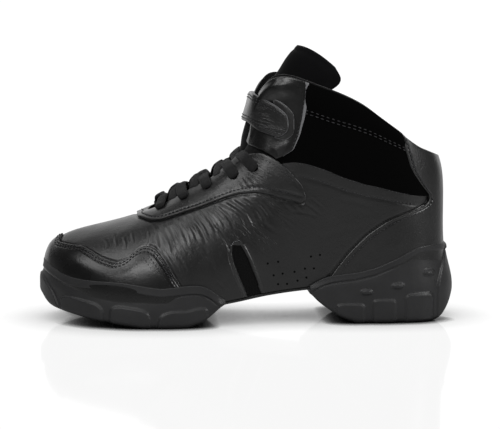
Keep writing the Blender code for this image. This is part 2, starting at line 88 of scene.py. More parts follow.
RIBS: tuple[Rib, ...] = tuple(Rib(*row) for row in (
    (0.500, 0.000, 0.000, 0.192, 0.186, -0.090, 0.489, 0.000, 0.563, 0.458, 0.000, 0.677),
    (0.478, 0.203, 0.198, 0.190, 0.186, -0.060, 0.469, 0.160, 0.569, 0.438, 0.144, 0.692),
    (0.425, 0.327, 0.317, 0.189, 0.192, -0.030, 0.421, 0.269, 0.587, 0.395, 0.252, 0.727),
    (0.356, 0.371, 0.356, 0.186, 0.216, -0.010, 0.356, 0.337, 0.632, 0.331, 0.322, 0.806),
    (0.276, 0.371, 0.351, 0.180, 0.240, -0.005, 0.276, 0.356, 0.689, 0.255, 0.356, 0.893),
    (0.196, 0.371, 0.332, 0.172, 0.251, 0.000, 0.200, 0.376, 0.719, 0.167, 0.361, 0.955),
    (0.116, 0.381, 0.322, 0.162, 0.251, 0.010, 0.131, 0.381, 0.749, 0.067, 0.307, 1.003),
    (0.036, 0.406, 0.332, 0.146, 0.240, 0.015, 0.058, 0.366, 0.731, 0.018, 0.178, 0.930),
    (-0.044, 0.441, 0.361, 0.122, 0.216, 0.020, -0.007, 0.347, 0.647, -0.010, 0.141, 0.731),
    (-0.124, 0.475, 0.416, 0.103, 0.198, 0.020, -0.087, 0.337, 0.551, -0.084, 0.144, 0.605),
    (-0.211, 0.500, 0.475, 0.096, 0.180, 0.020, -0.171, 0.356, 0.455, -0.153, 0.140, 0.540),
    (-0.305, 0.475, 0.500, 0.099, 0.165, 0.020, -0.270, 0.337, 0.395, -0.202, 0.124, 0.490),
    (-0.397, 0.381, 0.465, 0.123, 0.168, 0.018, -0.356, 0.248, 0.371, -0.231, 0.090, 0.464),
    (-0.476, 0.190, 0.327, 0.171, 0.180, 0.000, -0.415, 0.119, 0.365, -0.239, 0.046, 0.455),
    (-0.515, -0.069, 0.069, 0.200, 0.195, -0.010, -0.436, 0.000, 0.359, -0.240, 0.000, 0.452)))
TOE = len(RIBS) - 1
LOOP = 2 * TOE


@dataclass
class Last:
    """Form of the shoe: a surface over (place round the shoe in ribs, share of the way up the rib)."""

    length: float = 0.275
    width: float = 0.101
    instep: float = 0.167
    drop: float = 0.003
    swing: float = 0.007
    lip: float = 0.0032
    gap: float = 0.0003
    rows: Array = field(init=False, repr=False)

    def __post_init__(self) -> None:
        """Lays out all ribs round the shoe: heel, lateral side, toe, medial side."""
        rows = []
        for side, ribs in ((-1, RIBS), (1, RIBS[TOE - 1:0:-1])):
            for rib in ribs:
                out_y = rib.lateral if side < 0 else rib.medial
                reach_x, edge_x = rib.reach_x * self.length, rib.edge_x * self.length
                rows.append((rib.out_x * self.length, side * out_y * self.width, self.height(rib.bed),
                             rib.rise * self.instep, rib.flare * self.width, reach_x,
                             self.middle(reach_x) + side * rib.reach_y * self.width,
                             self.height(rib.reach_z), edge_x,
                             self.middle(edge_x) + side * rib.edge_y * self.width,
                             self.height(rib.edge_z)))
        self.rows = np.array(rows)

    def height(self, share: Array | float) -> Array | float:
        """Height over the floor of a share in the tables, which start under the floor."""
        return share * self.instep - self.drop

    def middle(self, x: float) -> float:
        """Y of the shoe's middle line at length x."""
        return self.swing * max(0.0, (0.073 * self.length - x) / (0.573 * self.length)) ** 1.6

    def row(self, u: Array) -> Array:
        """Smooth rib values at places u.

        Args:
            u: Places round the shoe, in ribs.

        Returns:
            One row of eleven values for each place.
        """
        u = np.mod(np.asarray(u, float), LOOP)
        i = np.floor(u).astype(int)
        f = (u - i)[..., None]
        a, b, c, d = (self.rows[(i + k) % LOOP] for k in (-1, 0, 1, 2))
        return curve_through(a, b, c, d, f)

    def outward(self, u: Array) -> Array:
        """Level directions away from the sole's outline at places u."""
        ahead = self.row(np.asarray(u) + 0.01)[..., :2] - self.row(np.asarray(u) - 0.01)[..., :2]
        return unit(np.stack((-ahead[..., 1], ahead[..., 0], 0.0 * ahead[..., 0]), -1))

    def point(self, u: Array, v: Array) -> Array:
        """Points of the upper's outer face.

        Args:
            u: Places round the shoe, in ribs.
            v: Shares of the way up the rib, same shape.

        Returns:
            Points, with a last axis of three.
        """
        u, v = np.broadcast_arrays(np.asarray(u, float), np.asarray(v, float))
        row, out = self.row(u), self.outward(u)
        up = np.array((0.0, 0.0, 1.0))
        low = np.stack((row[..., 0], row[..., 1], row[..., 2] + self.gap), -1) - out * (self.lip + self.gap)
        climb = low + out * row[..., 4:5] + up * row[..., 3:4]
        v = v[..., None]
        w = 1.0 - v
        return w ** 3 * low + 3 * w * w * v * climb + 3 * w * v * v * row[..., 5:8] + v ** 3 * row[..., 8:11]

    def rise(self, u: Array, v: Array) -> Array:
        """Directions up the ribs."""
        step = 0.004
        return unit(self.point(u, np.minimum(v + step, 1.0)) - self.point(u, np.maximum(v - step, 0.0)))

    def normal(self, u: Array, v: Array) -> Array:
        """Outward directions of the outer face."""
        around = self.point(u + 0.004, v) - self.point(u - 0.004, v)
        return unit(np.cross(self.rise(u, v), around))

    def lifted(self, u: Array, v: Array, height: Array | float) -> Array:
        """Points at a height over the outer face."""
        u, v = np.broadcast_arrays(np.asarray(u, float), np.asarray(v, float))
        height = np.broadcast_to(np.asarray(height, float), u.shape)
        return self.point(u, v) + self.normal(u, v) * height[..., None]

    def climb_to(self, u: Array, height: Array) -> Array:
        """Shares of the way up at which ribs reach a height."""
        low, high = np.zeros_like(u, dtype=float), np.full_like(u, 0.9, dtype=float)
        for _ in range(22):
            half = 0.5 * (low + high)
            under = self.point(u, half)[..., 2] < height
            low, high = np.where(under, half, low), np.where(under, high, half)
        return 0.5 * (low + high)

    def find(self, x: float, z: float, side: Side) -> tuple[float, float]:
        """Place that a point of the side view shows.

        Args:
            x: Length of the point in millimetres.
            z: Height of the point in millimetres, counted as in the tables.
            side: Side that is looked at.

        Returns:
            Place round the shoe and share of the way up.
        """
        small = 1e-3
        # A coarse search over the whole side, then steps along the surface's slope.
        us, vs = np.meshgrid(np.arange(0.4, 13.8, 0.2), np.arange(0.0, 1.0, 0.05), indexing="ij")
        us = us if side is Side.LATERAL else LOOP - us
        goal = np.array((x, z)) * MM - (0.0, self.drop)
        seen = self.point(us, vs)[..., ::2]
        best = np.argmin(((seen - goal) ** 2).sum(-1))
        u, v = float(us.flat[best]), float(vs.flat[best])
        for _ in range(8):
            spots = self.point(np.array((u, u + small, u)), np.array((v, v, v + small)))[:, ::2]
            here, over, upper = spots
            grid = np.stack(((over - here) / small, (upper - here) / small), 1)
            move = np.clip(np.linalg.solve(grid, goal - here), -0.2, 0.2)
            u, v = u + move[0], float(np.clip(v + move[1], 0.0, 0.995))
        return u, v

    def spot(self, place: tuple[float, float], side: Side, height: float) -> Array:
        """Point over a place of the side view, with the outward direction there."""
        u, v = self.find(*place, side)
        here = np.array(u), np.array(v)
        return np.concatenate((self.lifted(*here, height), self.normal(*here)))

    def trace(self, points: Sequence[tuple[float, float]], side: Side, step: float = 2.0) -> Array:
        """Places along a smooth line through points of the side view.

        Args:
            points: Points (x, z) in millimetres.
            side: Side that is looked at.
            step: Spacing of the result in millimetres.

        Returns:
            Rows of (place round the shoe, share of the way up).
        """
        line = smooth_line(np.array(points, float), step)
        return np.array([self.find(x, z, side) for x, z in line])


def unit(vectors: Array) -> Array:
    """The same directions at length one."""
    return vectors / np.linalg.norm(vectors, axis=-1, keepdims=True)


def curve_through(a: Array, b: Array, c: Array, d: Array, share: Array | float) -> Array:
    """Point at a share of the way from b to c on a smooth curve through all four."""
    return 0.5 * (2 * b + (c - a) * share + (2 * a - 5 * b + 4 * c - d) * share ** 2
                  + (3 * b - a - 3 * c + d) * share ** 3)


def smooth_line(points: Array, step: float) -> Array:
    """Points at even steps along a smooth curve through given points.

    Args:
        points: Rows of coordinates.
        step: Spacing in the same unit.

    Returns:
        Rows of coordinates.
    """
    pad = np.vstack((2 * points[0] - points[1], points, 2 * points[-1] - points[-2]))
    curve = []
    for a, b, c, d in zip(pad, pad[1:], pad[2:], pad[3:]):
        curve += [curve_through(a, b, c, d, f) for f in np.linspace(0.0, 1.0, 12, endpoint=False)]
    curve.append(points[-1])
    return even_steps(np.array(curve), step)


def distances(line: Array) -> Array:
    """Distance along a line at each of its points."""
    return np.concatenate(((0.0,), np.cumsum(np.linalg.norm(np.diff(line, axis=0), axis=1))))


def even_steps(line: Array, step: float) -> Array:
    """The same line with points at even steps."""
    far = distances(line)
    count = max(2, int(round(far[-1] / step)) + 1)
    at = np.linspace(0.0, far[-1], count)
    return np.stack([np.interp(at, far, line[:, k]) for k in range(line.shape[1])], 1)


def soft_step(value: Array, low: float, high: float) -> Array:
    """Smooth change from 0 at low to 1 at high."""
    t = np.clip((np.asarray(value, float) - low) / (high - low), 0.0, 1.0)
    return t * t * (3 - 2 * t)


@dataclass(frozen=True)
class EdgeLine:
    """Edge of a panel as points (place round the shoe, share of the way up)."""

    points: tuple[tuple[float, float], ...]
    blur: float = 0.05

    def _read(self, at: Array, key: int) -> Array:
        """Blurred straight-line reading of one coordinate against the other."""
        rows = sorted(self.points, key=lambda p: p[key])
        keys, values = [p[key] for p in rows], [p[1 - key] for p in rows]
        width = self.blur * (1.0 if key == 0 else 0.25)
        total = np.zeros_like(np.asarray(at, float))
        shifts = np.linspace(-1.0, 1.0, 9)
        weights = 1.0 - shifts ** 2 * 0.9
        for shift, weight in zip(shifts, weights):
            total = total + weight * np.interp(np.asarray(at) + shift * width, keys, values)
        return total / weights.sum()

    def up(self, u: Array) -> Array:
        """Share of the way up at places u, the same on both sides."""
        return self._read(np.minimum(u, LOOP - u), 0)

    def along(self, v: Array) -> Array:
        """Place on the lateral side at shares v."""
        return self._read(v, 1)


CAP_EDGE = EdgeLine((
    (9.45, 0.04), (9.50, 0.09), (9.70, 0.175), (9.95, 0.268), (10.21, 0.369), (10.49, 0.474), (10.66, 0.510),
    (10.80, 0.520), (10.97, 0.500), (11.19, 0.410), (11.47, 0.370), (11.90, 0.395), (12.30, 0.430),
    (12.60, 0.442), (13.08, 0.390), (13.55, 0.345), (13.80, 0.395), (14.00, 0.435)), 0.08)
STAY_LOW = EdgeLine((
    (5.88, 0.432), (6.00, 0.409), (6.29, 0.426), (6.77, 0.455), (7.20, 0.495), (7.60, 0.545), (8.15, 0.612),
    (8.60, 0.655), (9.02, 0.683), (9.44, 0.712), (9.94, 0.742), (10.36, 0.757), (10.72, 0.768),
    (11.13, 0.800), (11.50, 0.845), (11.80, 0.873), (12.40, 0.905), (13.20, 0.930), (14.00, 0.938)), 0.10)
STAY_HIGH = EdgeLine((
    (5.88, 0.434), (5.98, 0.483), (6.26, 0.538), (6.71, 0.613), (7.09, 0.670), (7.59, 0.762), (8.00, 0.860),
    (8.25, 0.985), (14.00, 0.985)), 0.06)
COUNTER_EDGE = EdgeLine((
    (5.30, 0.000), (5.16, 0.034), (5.04, 0.063), (4.64, 0.149), (4.06, 0.250), (3.37, 0.353), (2.70, 0.428),
    (1.95, 0.510), (1.72, 0.560), (1.75, 0.600), (2.13, 0.658), (2.38, 0.710), (2.53, 0.762), (2.64, 0.884),
    (2.70, 1.000)))
WING_BACK = EdgeLine((
    (6.62, 0.625), (6.50, 0.632), (6.20, 0.645), (5.93, 0.708), (5.70, 0.793), (5.44, 0.912), (5.34, 0.985),
    (5.33, 1.000)))
WING_FRONT = EdgeLine((
    (6.76, 0.625), (7.14, 0.690), (7.48, 0.765), (7.74, 0.850), (7.92, 0.930), (7.98, 1.000)))
QUARTER_TOP = EdgeLine((
    (1.75, 0.605), (2.10, 0.590), (2.60, 0.570), (3.22, 0.556), (4.04, 0.545), (4.68, 0.562), (5.19, 0.586),
    (5.82, 0.602), (6.22, 0.612), (6.62, 0.616), (6.90, 0.60), (7.30, 0.640), (8.00, 0.75), (8.60, 0.82),
    (9.50, 0.85), (11.00, 0.90), (12.00, 0.94), (14.00, 0.955)), 0.10)


def grid_object(name: str, points: Array, finishes: Sequence[bpy.types.Material],
                pick: Callable[[Array, Array], Array] | None = None,
                moulded: bool = False) -> bpy.types.Object:
    """Smooth mesh from a bmesh grid that is laid over points.

    Args:
        name: Piece's name.
        points: Array of columns by rows by three.
        finishes: Materials of the piece.
        pick: Gives each face's material number from its column and row.
        moulded: Whether it is a thick block, whose open ends are filled.

    Returns:
        The linked object. Ends that coincide are welded, and faces point outward.
    """
    columns, rows = points.shape[0] - 1, points.shape[1] - 1
    shape = bmesh.new()
    shape.loops.layers.uv.new("UVMap")
    bmesh.ops.create_grid(shape, x_segments=columns, y_segments=rows, size=1.0, calc_uvs=True)
    shape.faces.ensure_lookup_table()
    where = [(round((v.co.x + 1) / 2 * columns), round((v.co.y + 1) / 2 * rows)) for v in shape.verts]
    if pick is not None:
        middles = np.array([f.calc_center_median()[:2] for f in shape.faces])
        kinds = pick((middles[:, 0] + 1) / 2 * columns, (middles[:, 1] + 1) / 2 * rows)
        for face, kind in zip(shape.faces, kinds):
            face.material_index = int(kind)
    for vert, (i, j) in zip(shape.verts, where):
        vert.co = points[i, j]
    bmesh.ops.remove_doubles(shape, verts=shape.verts[:], dist=2e-5 if moulded else 2e-6)
    if moulded:
        open_edges = [e for e in shape.edges if len(e.link_faces) == 1]
        bmesh.ops.holes_fill(shape, edges=open_edges, sides=0)
        bmesh.ops.triangulate(shape, faces=[f for f in shape.faces if len(f.verts) > 4])
    else:
        bmesh.ops.dissolve_degenerate(shape, edges=shape.edges[:], dist=1e-7)
    return finish_mesh(name, shape, finishes)


def linked(name: str, data: bpy.types.ID) -> bpy.types.Object:
    """New object for some data, in the scene."""
    made = bpy.data.objects.new(name, data)
    bpy.context.collection.objects.link(made)
    return made


def closed(top: Array, under: Array) -> Array:
    """Rings over a sheet's upper face and back along its lower one."""
    return np.concatenate((top, under[:, ::-1], top[:, :1]), axis=1)


def punch(shape: bmesh.types.BMesh, spot: Array, radius: float, segments: int) -> None:
    """Adds a flat dark disc that paints the shade inside one hole.

    Args:
        shape: Mesh that it joins.
        spot: Its middle and the outward direction there.
        radius: Its radius.
        segments: Sides of its circle.
    """
    turn = Vector(spot[3:]).to_track_quat("Z", "Y").to_matrix().to_4x4()
    bmesh.ops.create_circle(shape, cap_ends=True, segments=segments, radius=radius,
                            matrix=Matrix.Translation(Vector(spot[:3])) @ turn)


def finish_mesh(name: str, shape: bmesh.types.BMesh, finishes: Sequence[bpy.types.Material],
                recalc: bool = True) -> bpy.types.Object:
    """Turns a bmesh into a smooth linked object that rides on the shoe.

    Args:
        name: Piece's name.
        shape: The mesh, which is freed.
        finishes: Materials of the piece.
        recalc: Whether the normals are worked out again.

    Returns:
        The linked object.
    """
    if recalc:
        bmesh.ops.recalc_face_normals(shape, faces=shape.faces[:])
    for face in shape.faces:
        face.smooth = True
    bmesh.ops.translate(shape, verts=shape.verts[:], vec=(CENTRE, 0.0, 0.0))
    data = bpy.data.meshes.new(name)
    shape.to_mesh(data)
    shape.free()
    for finish in finishes:
        data.materials.append(finish)
    made = linked(name, data)
    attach(made, BODY)
    LOG.info("%s: %d faces", name, len(data.polygons))
    return made


def turned(count: int, edge: float) -> tuple[Array, Array]:
    """Spacing across a panel whose edges are turned down.

    Args:
        count: Number of even steps between the edges.
        edge: Width of the rounded edge as a share of the panel.

    Returns:
        Shares from 0 to 1, and how full the panel's height is at each.
    """
    inner = np.linspace(edge * 1.8, 1 - edge * 1.8, count)
    at = np.concatenate(((0.0, 0.0, edge * 0.3, edge), inner, (1 - edge, 1 - edge * 0.3, 1.0, 1.0)))
    full = np.concatenate(((0.0, 0.55, 0.86, 0.97), np.ones(count), (0.97, 0.86, 0.55, 0.0)))
    return at, full


def add_node(tree: bpy.types.NodeTree, kind: str, settings: dict | None = None,
             links: dict | None = None) -> bpy.types.Node:
    """Adds one node with its settings and links.

    Args:
        tree: Node tree.
        kind: Node type.
        settings: Values by socket name or attribute name.
        links: Output sockets by input name.

    Returns:
        The node.
    """
    node = tree.nodes.new(kind)
    for key, value in (settings or {}).items():
        if hasattr(node, key):
            setattr(node, key, value)
        else:
            node.inputs[key].default_value = value
    for key, socket in (links or {}).items():
        tree.links.new(socket, node.inputs[key])
    return node


def linear(colour: str) -> tuple[float, float, float, float]:
    """Linear RGBA of an sRGB hex colour."""
    parts = [int(colour[k:k + 2], 16) / 255 for k in (1, 3, 5)]
    made = [p / 12.92 if p <= 0.04045 else ((p + 0.055) / 1.055) ** 2.4 for p in parts]
    return made[0], made[1], made[2], 1.0


@dataclass(frozen=True)
class Finish:
    """Base of every finish: a named Principled material with relief from nodes."""

    name: str
    colour: str
    deep: str
    roughness: float

    def start(self) -> tuple[bpy.types.Material, bpy.types.NodeTree, bpy.types.Node, bpy.types.NodeSocket]:
        """Starts the material.

        Returns:
            The material, its tree, its shader and the object coordinates.
        """
        made = bpy.data.materials.new(self.name)
        made.use_nodes = True
        tree = made.node_tree
        shader = tree.nodes["Principled BSDF"]
        shader.inputs["Base Color"].default_value = linear(self.colour)
        shader.inputs["Roughness"].default_value = self.roughness
        return made, tree, shader, add_node(tree, "ShaderNodeTexCoord").outputs["Object"]

    def mottle(self, tree: bpy.types.NodeTree, shader: bpy.types.Node, place: bpy.types.NodeSocket,
               size: float, spread: float) -> None:
        """Slow changes of colour and roughness.

        Args:
            tree: Node tree.
            shader: Principled shader.
            place: Coordinates.
            size: Size of the patches in metres.
            spread: How far the roughness wanders either way.
        """
        noise = add_node(tree, "ShaderNodeTexNoise", {"Scale": 1.0 / size, "Detail": 4.0, "Roughness": 0.6},
                         {"Vector": place})
        blend = add_node(tree, "ShaderNodeMix", {"data_type": "RGBA"})
        tree.links.new(noise.outputs["Fac"], blend.inputs["Factor"])
        blend.inputs[6].default_value = linear(self.deep)
        blend.inputs[7].default_value = linear(self.colour)
        tree.links.new(blend.outputs[2], shader.inputs["Base Color"])
        rough = add_node(tree, "ShaderNodeMapRange",
                         {"From Min": 0.3, "From Max": 0.7, "To Min": self.roughness - spread,
                          "To Max": self.roughness + spread}, {"Value": noise.outputs["Fac"]})
        tree.links.new(rough.outputs["Result"], shader.inputs["Roughness"])

    def emboss(self, tree: bpy.types.NodeTree, shader: bpy.types.Node,
               layers: Sequence[tuple[bpy.types.NodeSocket, float, float]]) -> None:
        """Presses layers of relief into the surface, each over the one before.

        Args:
            tree: Node tree.
            shader: Principled shader.
            layers: Height, strength and depth in metres of each, the lowest first.
        """
        below: dict[str, bpy.types.NodeSocket] = {}
        for height, strength, depth in layers:
            bump = add_node(tree, "ShaderNodeBump", {"Strength": strength, "Distance": depth},
                            {"Height": height, **below})
            below = {"Normal": bump.outputs["Normal"]}
        tree.links.new(below["Normal"], shader.inputs["Normal"])


@dataclass(frozen=True)
class LeatherFinish(Finish):
    """Full-grain cowhide, dyed and lightly coated: soft gloss broken by fine pebbled grain."""

    grain: float = 1.1 * MM
    relief: float = 0.10 * MM
    coat: float = 0.15
    stretch: float = 1.0
    flex: float = 0.0
    specular: float = 0.5

    def make(self) -> bpy.types.Material:
        """The leather's material."""
        made, tree, shader, place = self.start()
        self.mottle(tree, shader, place, 22 * MM, 0.06)
        shader.inputs["Specular IOR Level"].default_value = self.specular
        shader.inputs["Coat Weight"].default_value = self.coat
        shader.inputs["Coat Roughness"].default_value = 0.28
        # Pebbles of about a millimetre with half-millimetre pores between them break the gloss up small.
        pebble = add_node(tree, "ShaderNodeTexVoronoi",
                          {"feature": "SMOOTH_F1", "Scale": 1.0 / self.grain, "Smoothness": 0.6},
                          {"Vector": place})
        # Leather pulled over a last stays wavy at 9 mm and crinkled at 2.6 mm, so its highlights wander.
        pores, slow = (add_node(tree, "ShaderNodeTexNoise", {"Scale": 1.0 / size, "Detail": detail},
                                {"Vector": place}) for size, detail in ((0.5 * MM, 3.0), (9 * MM, 2.0)))
        crinkle = add_node(tree, "ShaderNodeTexNoise",
                           {"Scale": 1.0 / (2.6 * MM), "Detail": 3.0, "Roughness": 0.55, "Distortion": 1.6},
                           {"Vector": place})
        self.emboss(tree, shader, ((pebble.outputs["Distance"], 0.55, self.relief),
                                   (pores.outputs["Fac"], 0.35, self.relief * 0.6),
                                   (slow.outputs["Fac"], 0.30, 0.7 * MM * self.stretch),
                                   (crinkle.outputs["Fac"], 0.45, 0.35 * MM * self.stretch),
                                   (self.wrinkles(tree, place), 0.8, self.flex)))
        return made

    def wrinkles(self, tree: bpy.types.NodeTree, place: bpy.types.NodeSocket) -> bpy.types.NodeSocket:
        """Fine sharp wrinkles that fan out over the ball, where the shoe bends at every step.

        Args:
            tree: Node tree.
            place: Object coordinates.

        Returns:
            Their height.
        """
        # The wrinkles fan out from a point high over the ball of the foot.
        hub = add_node(tree, "ShaderNodeVectorMath", {"operation": "SUBTRACT"}, {0: place})
        hub.inputs[1].default_value = (-90 * MM, 0.0, 155 * MM)
        split = add_node(tree, "ShaderNodeSeparateXYZ", {}, {"Vector": hub.outputs["Vector"]})
        angle = add_node(tree, "ShaderNodeMath", {"operation": "ARCTAN2"},
                         {0: split.outputs["Z"], 1: split.outputs["X"]})
        fan = add_node(tree, "ShaderNodeCombineXYZ", {},
                       {"X": angle.outputs["Value"], "Y": split.outputs["Y"], "Z": split.outputs["Z"]})
        # Forty to the radian is 2.5 mm apart at 100 mm from the hub; they run about 17 mm before they part.
        sized = add_node(tree, "ShaderNodeVectorMath", {"operation": "MULTIPLY"}, {0: fan.outputs["Vector"]})
        sized.inputs[1].default_value = (40.0, 45.0, 60.0)
        lines = add_node(tree, "ShaderNodeTexNoise",
                         {"Scale": 1.0, "Detail": 3.0, "Roughness": 0.6, "Distortion": 0.35},
                         {"Vector": sized.outputs["Vector"]})
        away = add_node(tree, "ShaderNodeMath", {"operation": "SUBTRACT"}, {0: lines.outputs["Fac"]})
        away.inputs[1].default_value = 0.5
        ridge = add_node(tree, "ShaderNodeMath", {"operation": "ABSOLUTE"}, {0: away.outputs["Value"]})
        patch = add_node(tree, "ShaderNodeTexNoise", {"Scale": 1.0 / (14 * MM), "Detail": 1.0},
                         {"Vector": place})
        where = add_node(tree, "ShaderNodeSeparateXYZ", {}, {"Vector": place})
        x, z = where.outputs["X"], where.outputs["Z"]
        total = ridge.outputs["Value"]
        for socket, none, full in ((x, -80 * MM, -64 * MM), (x, 42 * MM, 12 * MM), (z, 34 * MM, 60 * MM),
                                   (patch.outputs["Fac"], 0.38, 0.58)):
            fade = add_node(tree, "ShaderNodeMapRange", {"From Min": none, "From Max": full},
                            {"Value": socket})
            both = add_node(tree, "ShaderNodeMath", {"operation": "MULTIPLY"},
                            {0: total, 1: fade.outputs["Result"]})
            total = both.outputs["Value"]
        return total


@dataclass(frozen=True)
class SuedeFinish(Finish):
    """Split leather, brushed up into tufts of a short nap: almost no gloss, a dark velvety look."""

    nap: float = 0.7 * MM
    sheen: float = 0.05

    def make(self) -> bpy.types.Material:
        """The suede's material."""
        made, tree, shader, place = self.start()
        self.mottle(tree, shader, place, 12 * MM, 0.03)
        shader.inputs["Specular IOR Level"].default_value = 0.04
        shader.inputs["Sheen Weight"].default_value = self.sheen
        shader.inputs["Sheen Roughness"].default_value = 0.45
        # Real tufts are much finer than 0.7 mm; they are drawn this coarse so that they show.
        nap = add_node(tree, "ShaderNodeTexNoise", {"Scale": 1.0 / self.nap, "Detail": 5.0, "Roughness": 0.7},
                       {"Vector": place})
        self.emboss(tree, shader, ((nap.outputs["Fac"], 0.6, 0.25 * MM),))
        return made


@dataclass(frozen=True)
class RubberFinish(Finish):
    """Injection-moulded polyurethane: even matte black with a faint spark-eroded texture."""

    pit: float = 0.6 * MM

    def make(self) -> bpy.types.Material:
        """The sole's material."""
        made, tree, shader, place = self.start()
        self.mottle(tree, shader, place, 16 * MM, 0.05)
        shader.inputs["Specular IOR Level"].default_value = 0.45
        # The mould's pits keep it matte; its walls shrink a little unevenly, so the grey drifts over 7 mm.
        pits, slow = (add_node(tree, "ShaderNodeTexNoise", {"Scale": 1.0 / size, "Detail": detail},
                               {"Vector": place}) for size, detail in ((self.pit, 4.0), (7 * MM, 2.0)))
        self.emboss(tree, shader, ((pits.outputs["Fac"], 0.4, 0.12 * MM),
                                   (slow.outputs["Fac"], 0.25, 0.6 * MM)))
        return made


@dataclass(frozen=True)
class ClothFinish(Finish):
    """Woven or knitted polyester: matte, with the threads' crossings as relief."""

    thread: float = 0.8 * MM
    depth: float = 0.25 * MM

    def make(self) -> bpy.types.Material:
        """The cloth's material."""
        made, tree, shader, place = self.start()
        self.mottle(tree, shader, place, 10 * MM, 0.03)
        shader.inputs["Specular IOR Level"].default_value = 0.12
        shader.inputs["Sheen Weight"].default_value = 0.10
        # Threads cross over and under, which scatters light and looks matte; they are drawn about a
        # millimetre apart, coarser than in a real lining, so that they show.
        along, up = (add_node(tree, "ShaderNodeTexWave",
                              {"wave_type": "BANDS", "bands_direction": way, "Distortion": 0.6,
                               "Scale": WAVE_PERIOD / self.thread}, {"Vector": place}) for way in "XZ")
        cross = add_node(tree, "ShaderNodeMath", {"operation": "MULTIPLY"},
                         {0: along.outputs["Fac"], 1: up.outputs["Fac"]})
        self.emboss(tree, shader, ((cross.outputs["Value"], 0.8, self.depth),))
        return made


@dataclass(frozen=True)
class LaceFinish(Finish):
    """Flat braided polyester lace: a herringbone of strands that follows the lace's own run."""

    def make(self) -> bpy.types.Material:
        """The lace's material."""
        made, tree, shader, _ = self.start()
        own = add_node(tree, "ShaderNodeTexCoord").outputs["UV"]
        shader.inputs["Specular IOR Level"].default_value = 0.35
        shader.inputs["Sheen Weight"].default_value = 0.03
        heights = []
        for turn in (0.6, -0.6):
            # A run of about 70 mm fills the map's length, so the strands lie about 0.8 mm apart on it.
            tilt = add_node(tree, "ShaderNodeMapping",
                            {"Scale": (26.0, 7.0, 1.0), "Rotation": (0.0, 0.0, turn)}, {"Vector": own})
            wave = add_node(tree, "ShaderNodeTexWave", {"bands_direction": "X", "Scale": 1.3},
                            {"Vector": tilt.outputs["Vector"]})
            heights.append(wave.outputs["Fac"])
        cross = add_node(tree, "ShaderNodeMath", {"operation": "MAXIMUM"}, dict(enumerate(heights)))
        self.emboss(tree, shader, ((cross.outputs["Value"], 0.8, 0.25 * MM),))
        return made


@dataclass(frozen=True)
class PlainFinish(Finish):
    """Fine even surface, such as twisted thread, a pale cut edge of leather lightened as a painted highlight,
    or the painted shade of a punched hole.
    """

    specular: float = 0.4

    def make(self) -> bpy.types.Material:
        """The plain material, with a fine relief."""
        made, tree, shader, place = self.start()
        shader.inputs["Specular IOR Level"].default_value = self.specular
        noise = add_node(tree, "ShaderNodeTexNoise", {"Scale": 1.0 / (0.4 * MM)}, {"Vector": place})
        self.emboss(tree, shader, ((noise.outputs["Fac"], 0.2, 0.05 * MM),))
        return made


@dataclass(frozen=True)
class FloorFinish(Finish):
    """Polished acrylic over white card: white and a little mirrored, with a painted shadow that darkens its
    glow where something stands on it.
    """

    glow: float = 0.93
    cast: float = 0.50
    # Reach of the painted shadow: how far from a nearby thing the glow is darkened.
    reach: float = 40 * MM

    def make(self) -> bpy.types.Material:
        """The floor's material."""
        made, tree, _, _ = self.start()
        seen = add_node(tree, "ShaderNodeLightPath").outputs["Is Camera Ray"]
        glow = add_node(tree, "ShaderNodeMapRange", {"To Min": self.cast, "To Max": self.glow},
                        {"Value": seen})
        total = glow.outputs["Result"]
        # Painted contact shadow: ambient occlusion dims the glow under and beside whatever stands on the
        # floor, softly far out and darkly close in.
        for reach, power in ((self.reach, 0.8), (0.25 * self.reach, 3.0)):
            closed = add_node(tree, "ShaderNodeAmbientOcclusion", {"Distance": reach, "samples": 8})
            shade = add_node(tree, "ShaderNodeMath", {"operation": "POWER"}, {0: closed.outputs["AO"]})
            shade.inputs[1].default_value = power
            darker = add_node(tree, "ShaderNodeMath", {"operation": "MULTIPLY"},
                              {0: total, 1: shade.outputs["Value"]})
            total = darker.outputs["Value"]
        card = add_node(tree, "ShaderNodeEmission", {"Color": (1.0, 1.0, 1.0, 1.0)}, {"Strength": total})
        mirror = add_node(tree, "ShaderNodeBsdfGlossy",
                          {"Color": linear(self.colour), "Roughness": self.roughness})
        both = add_node(tree, "ShaderNodeAddShader", {},
                        {0: card.outputs["Emission"], 1: mirror.outputs["BSDF"]})
        tree.links.new(both.outputs["Shader"], tree.nodes["Material Output"].inputs["Surface"])
        return made


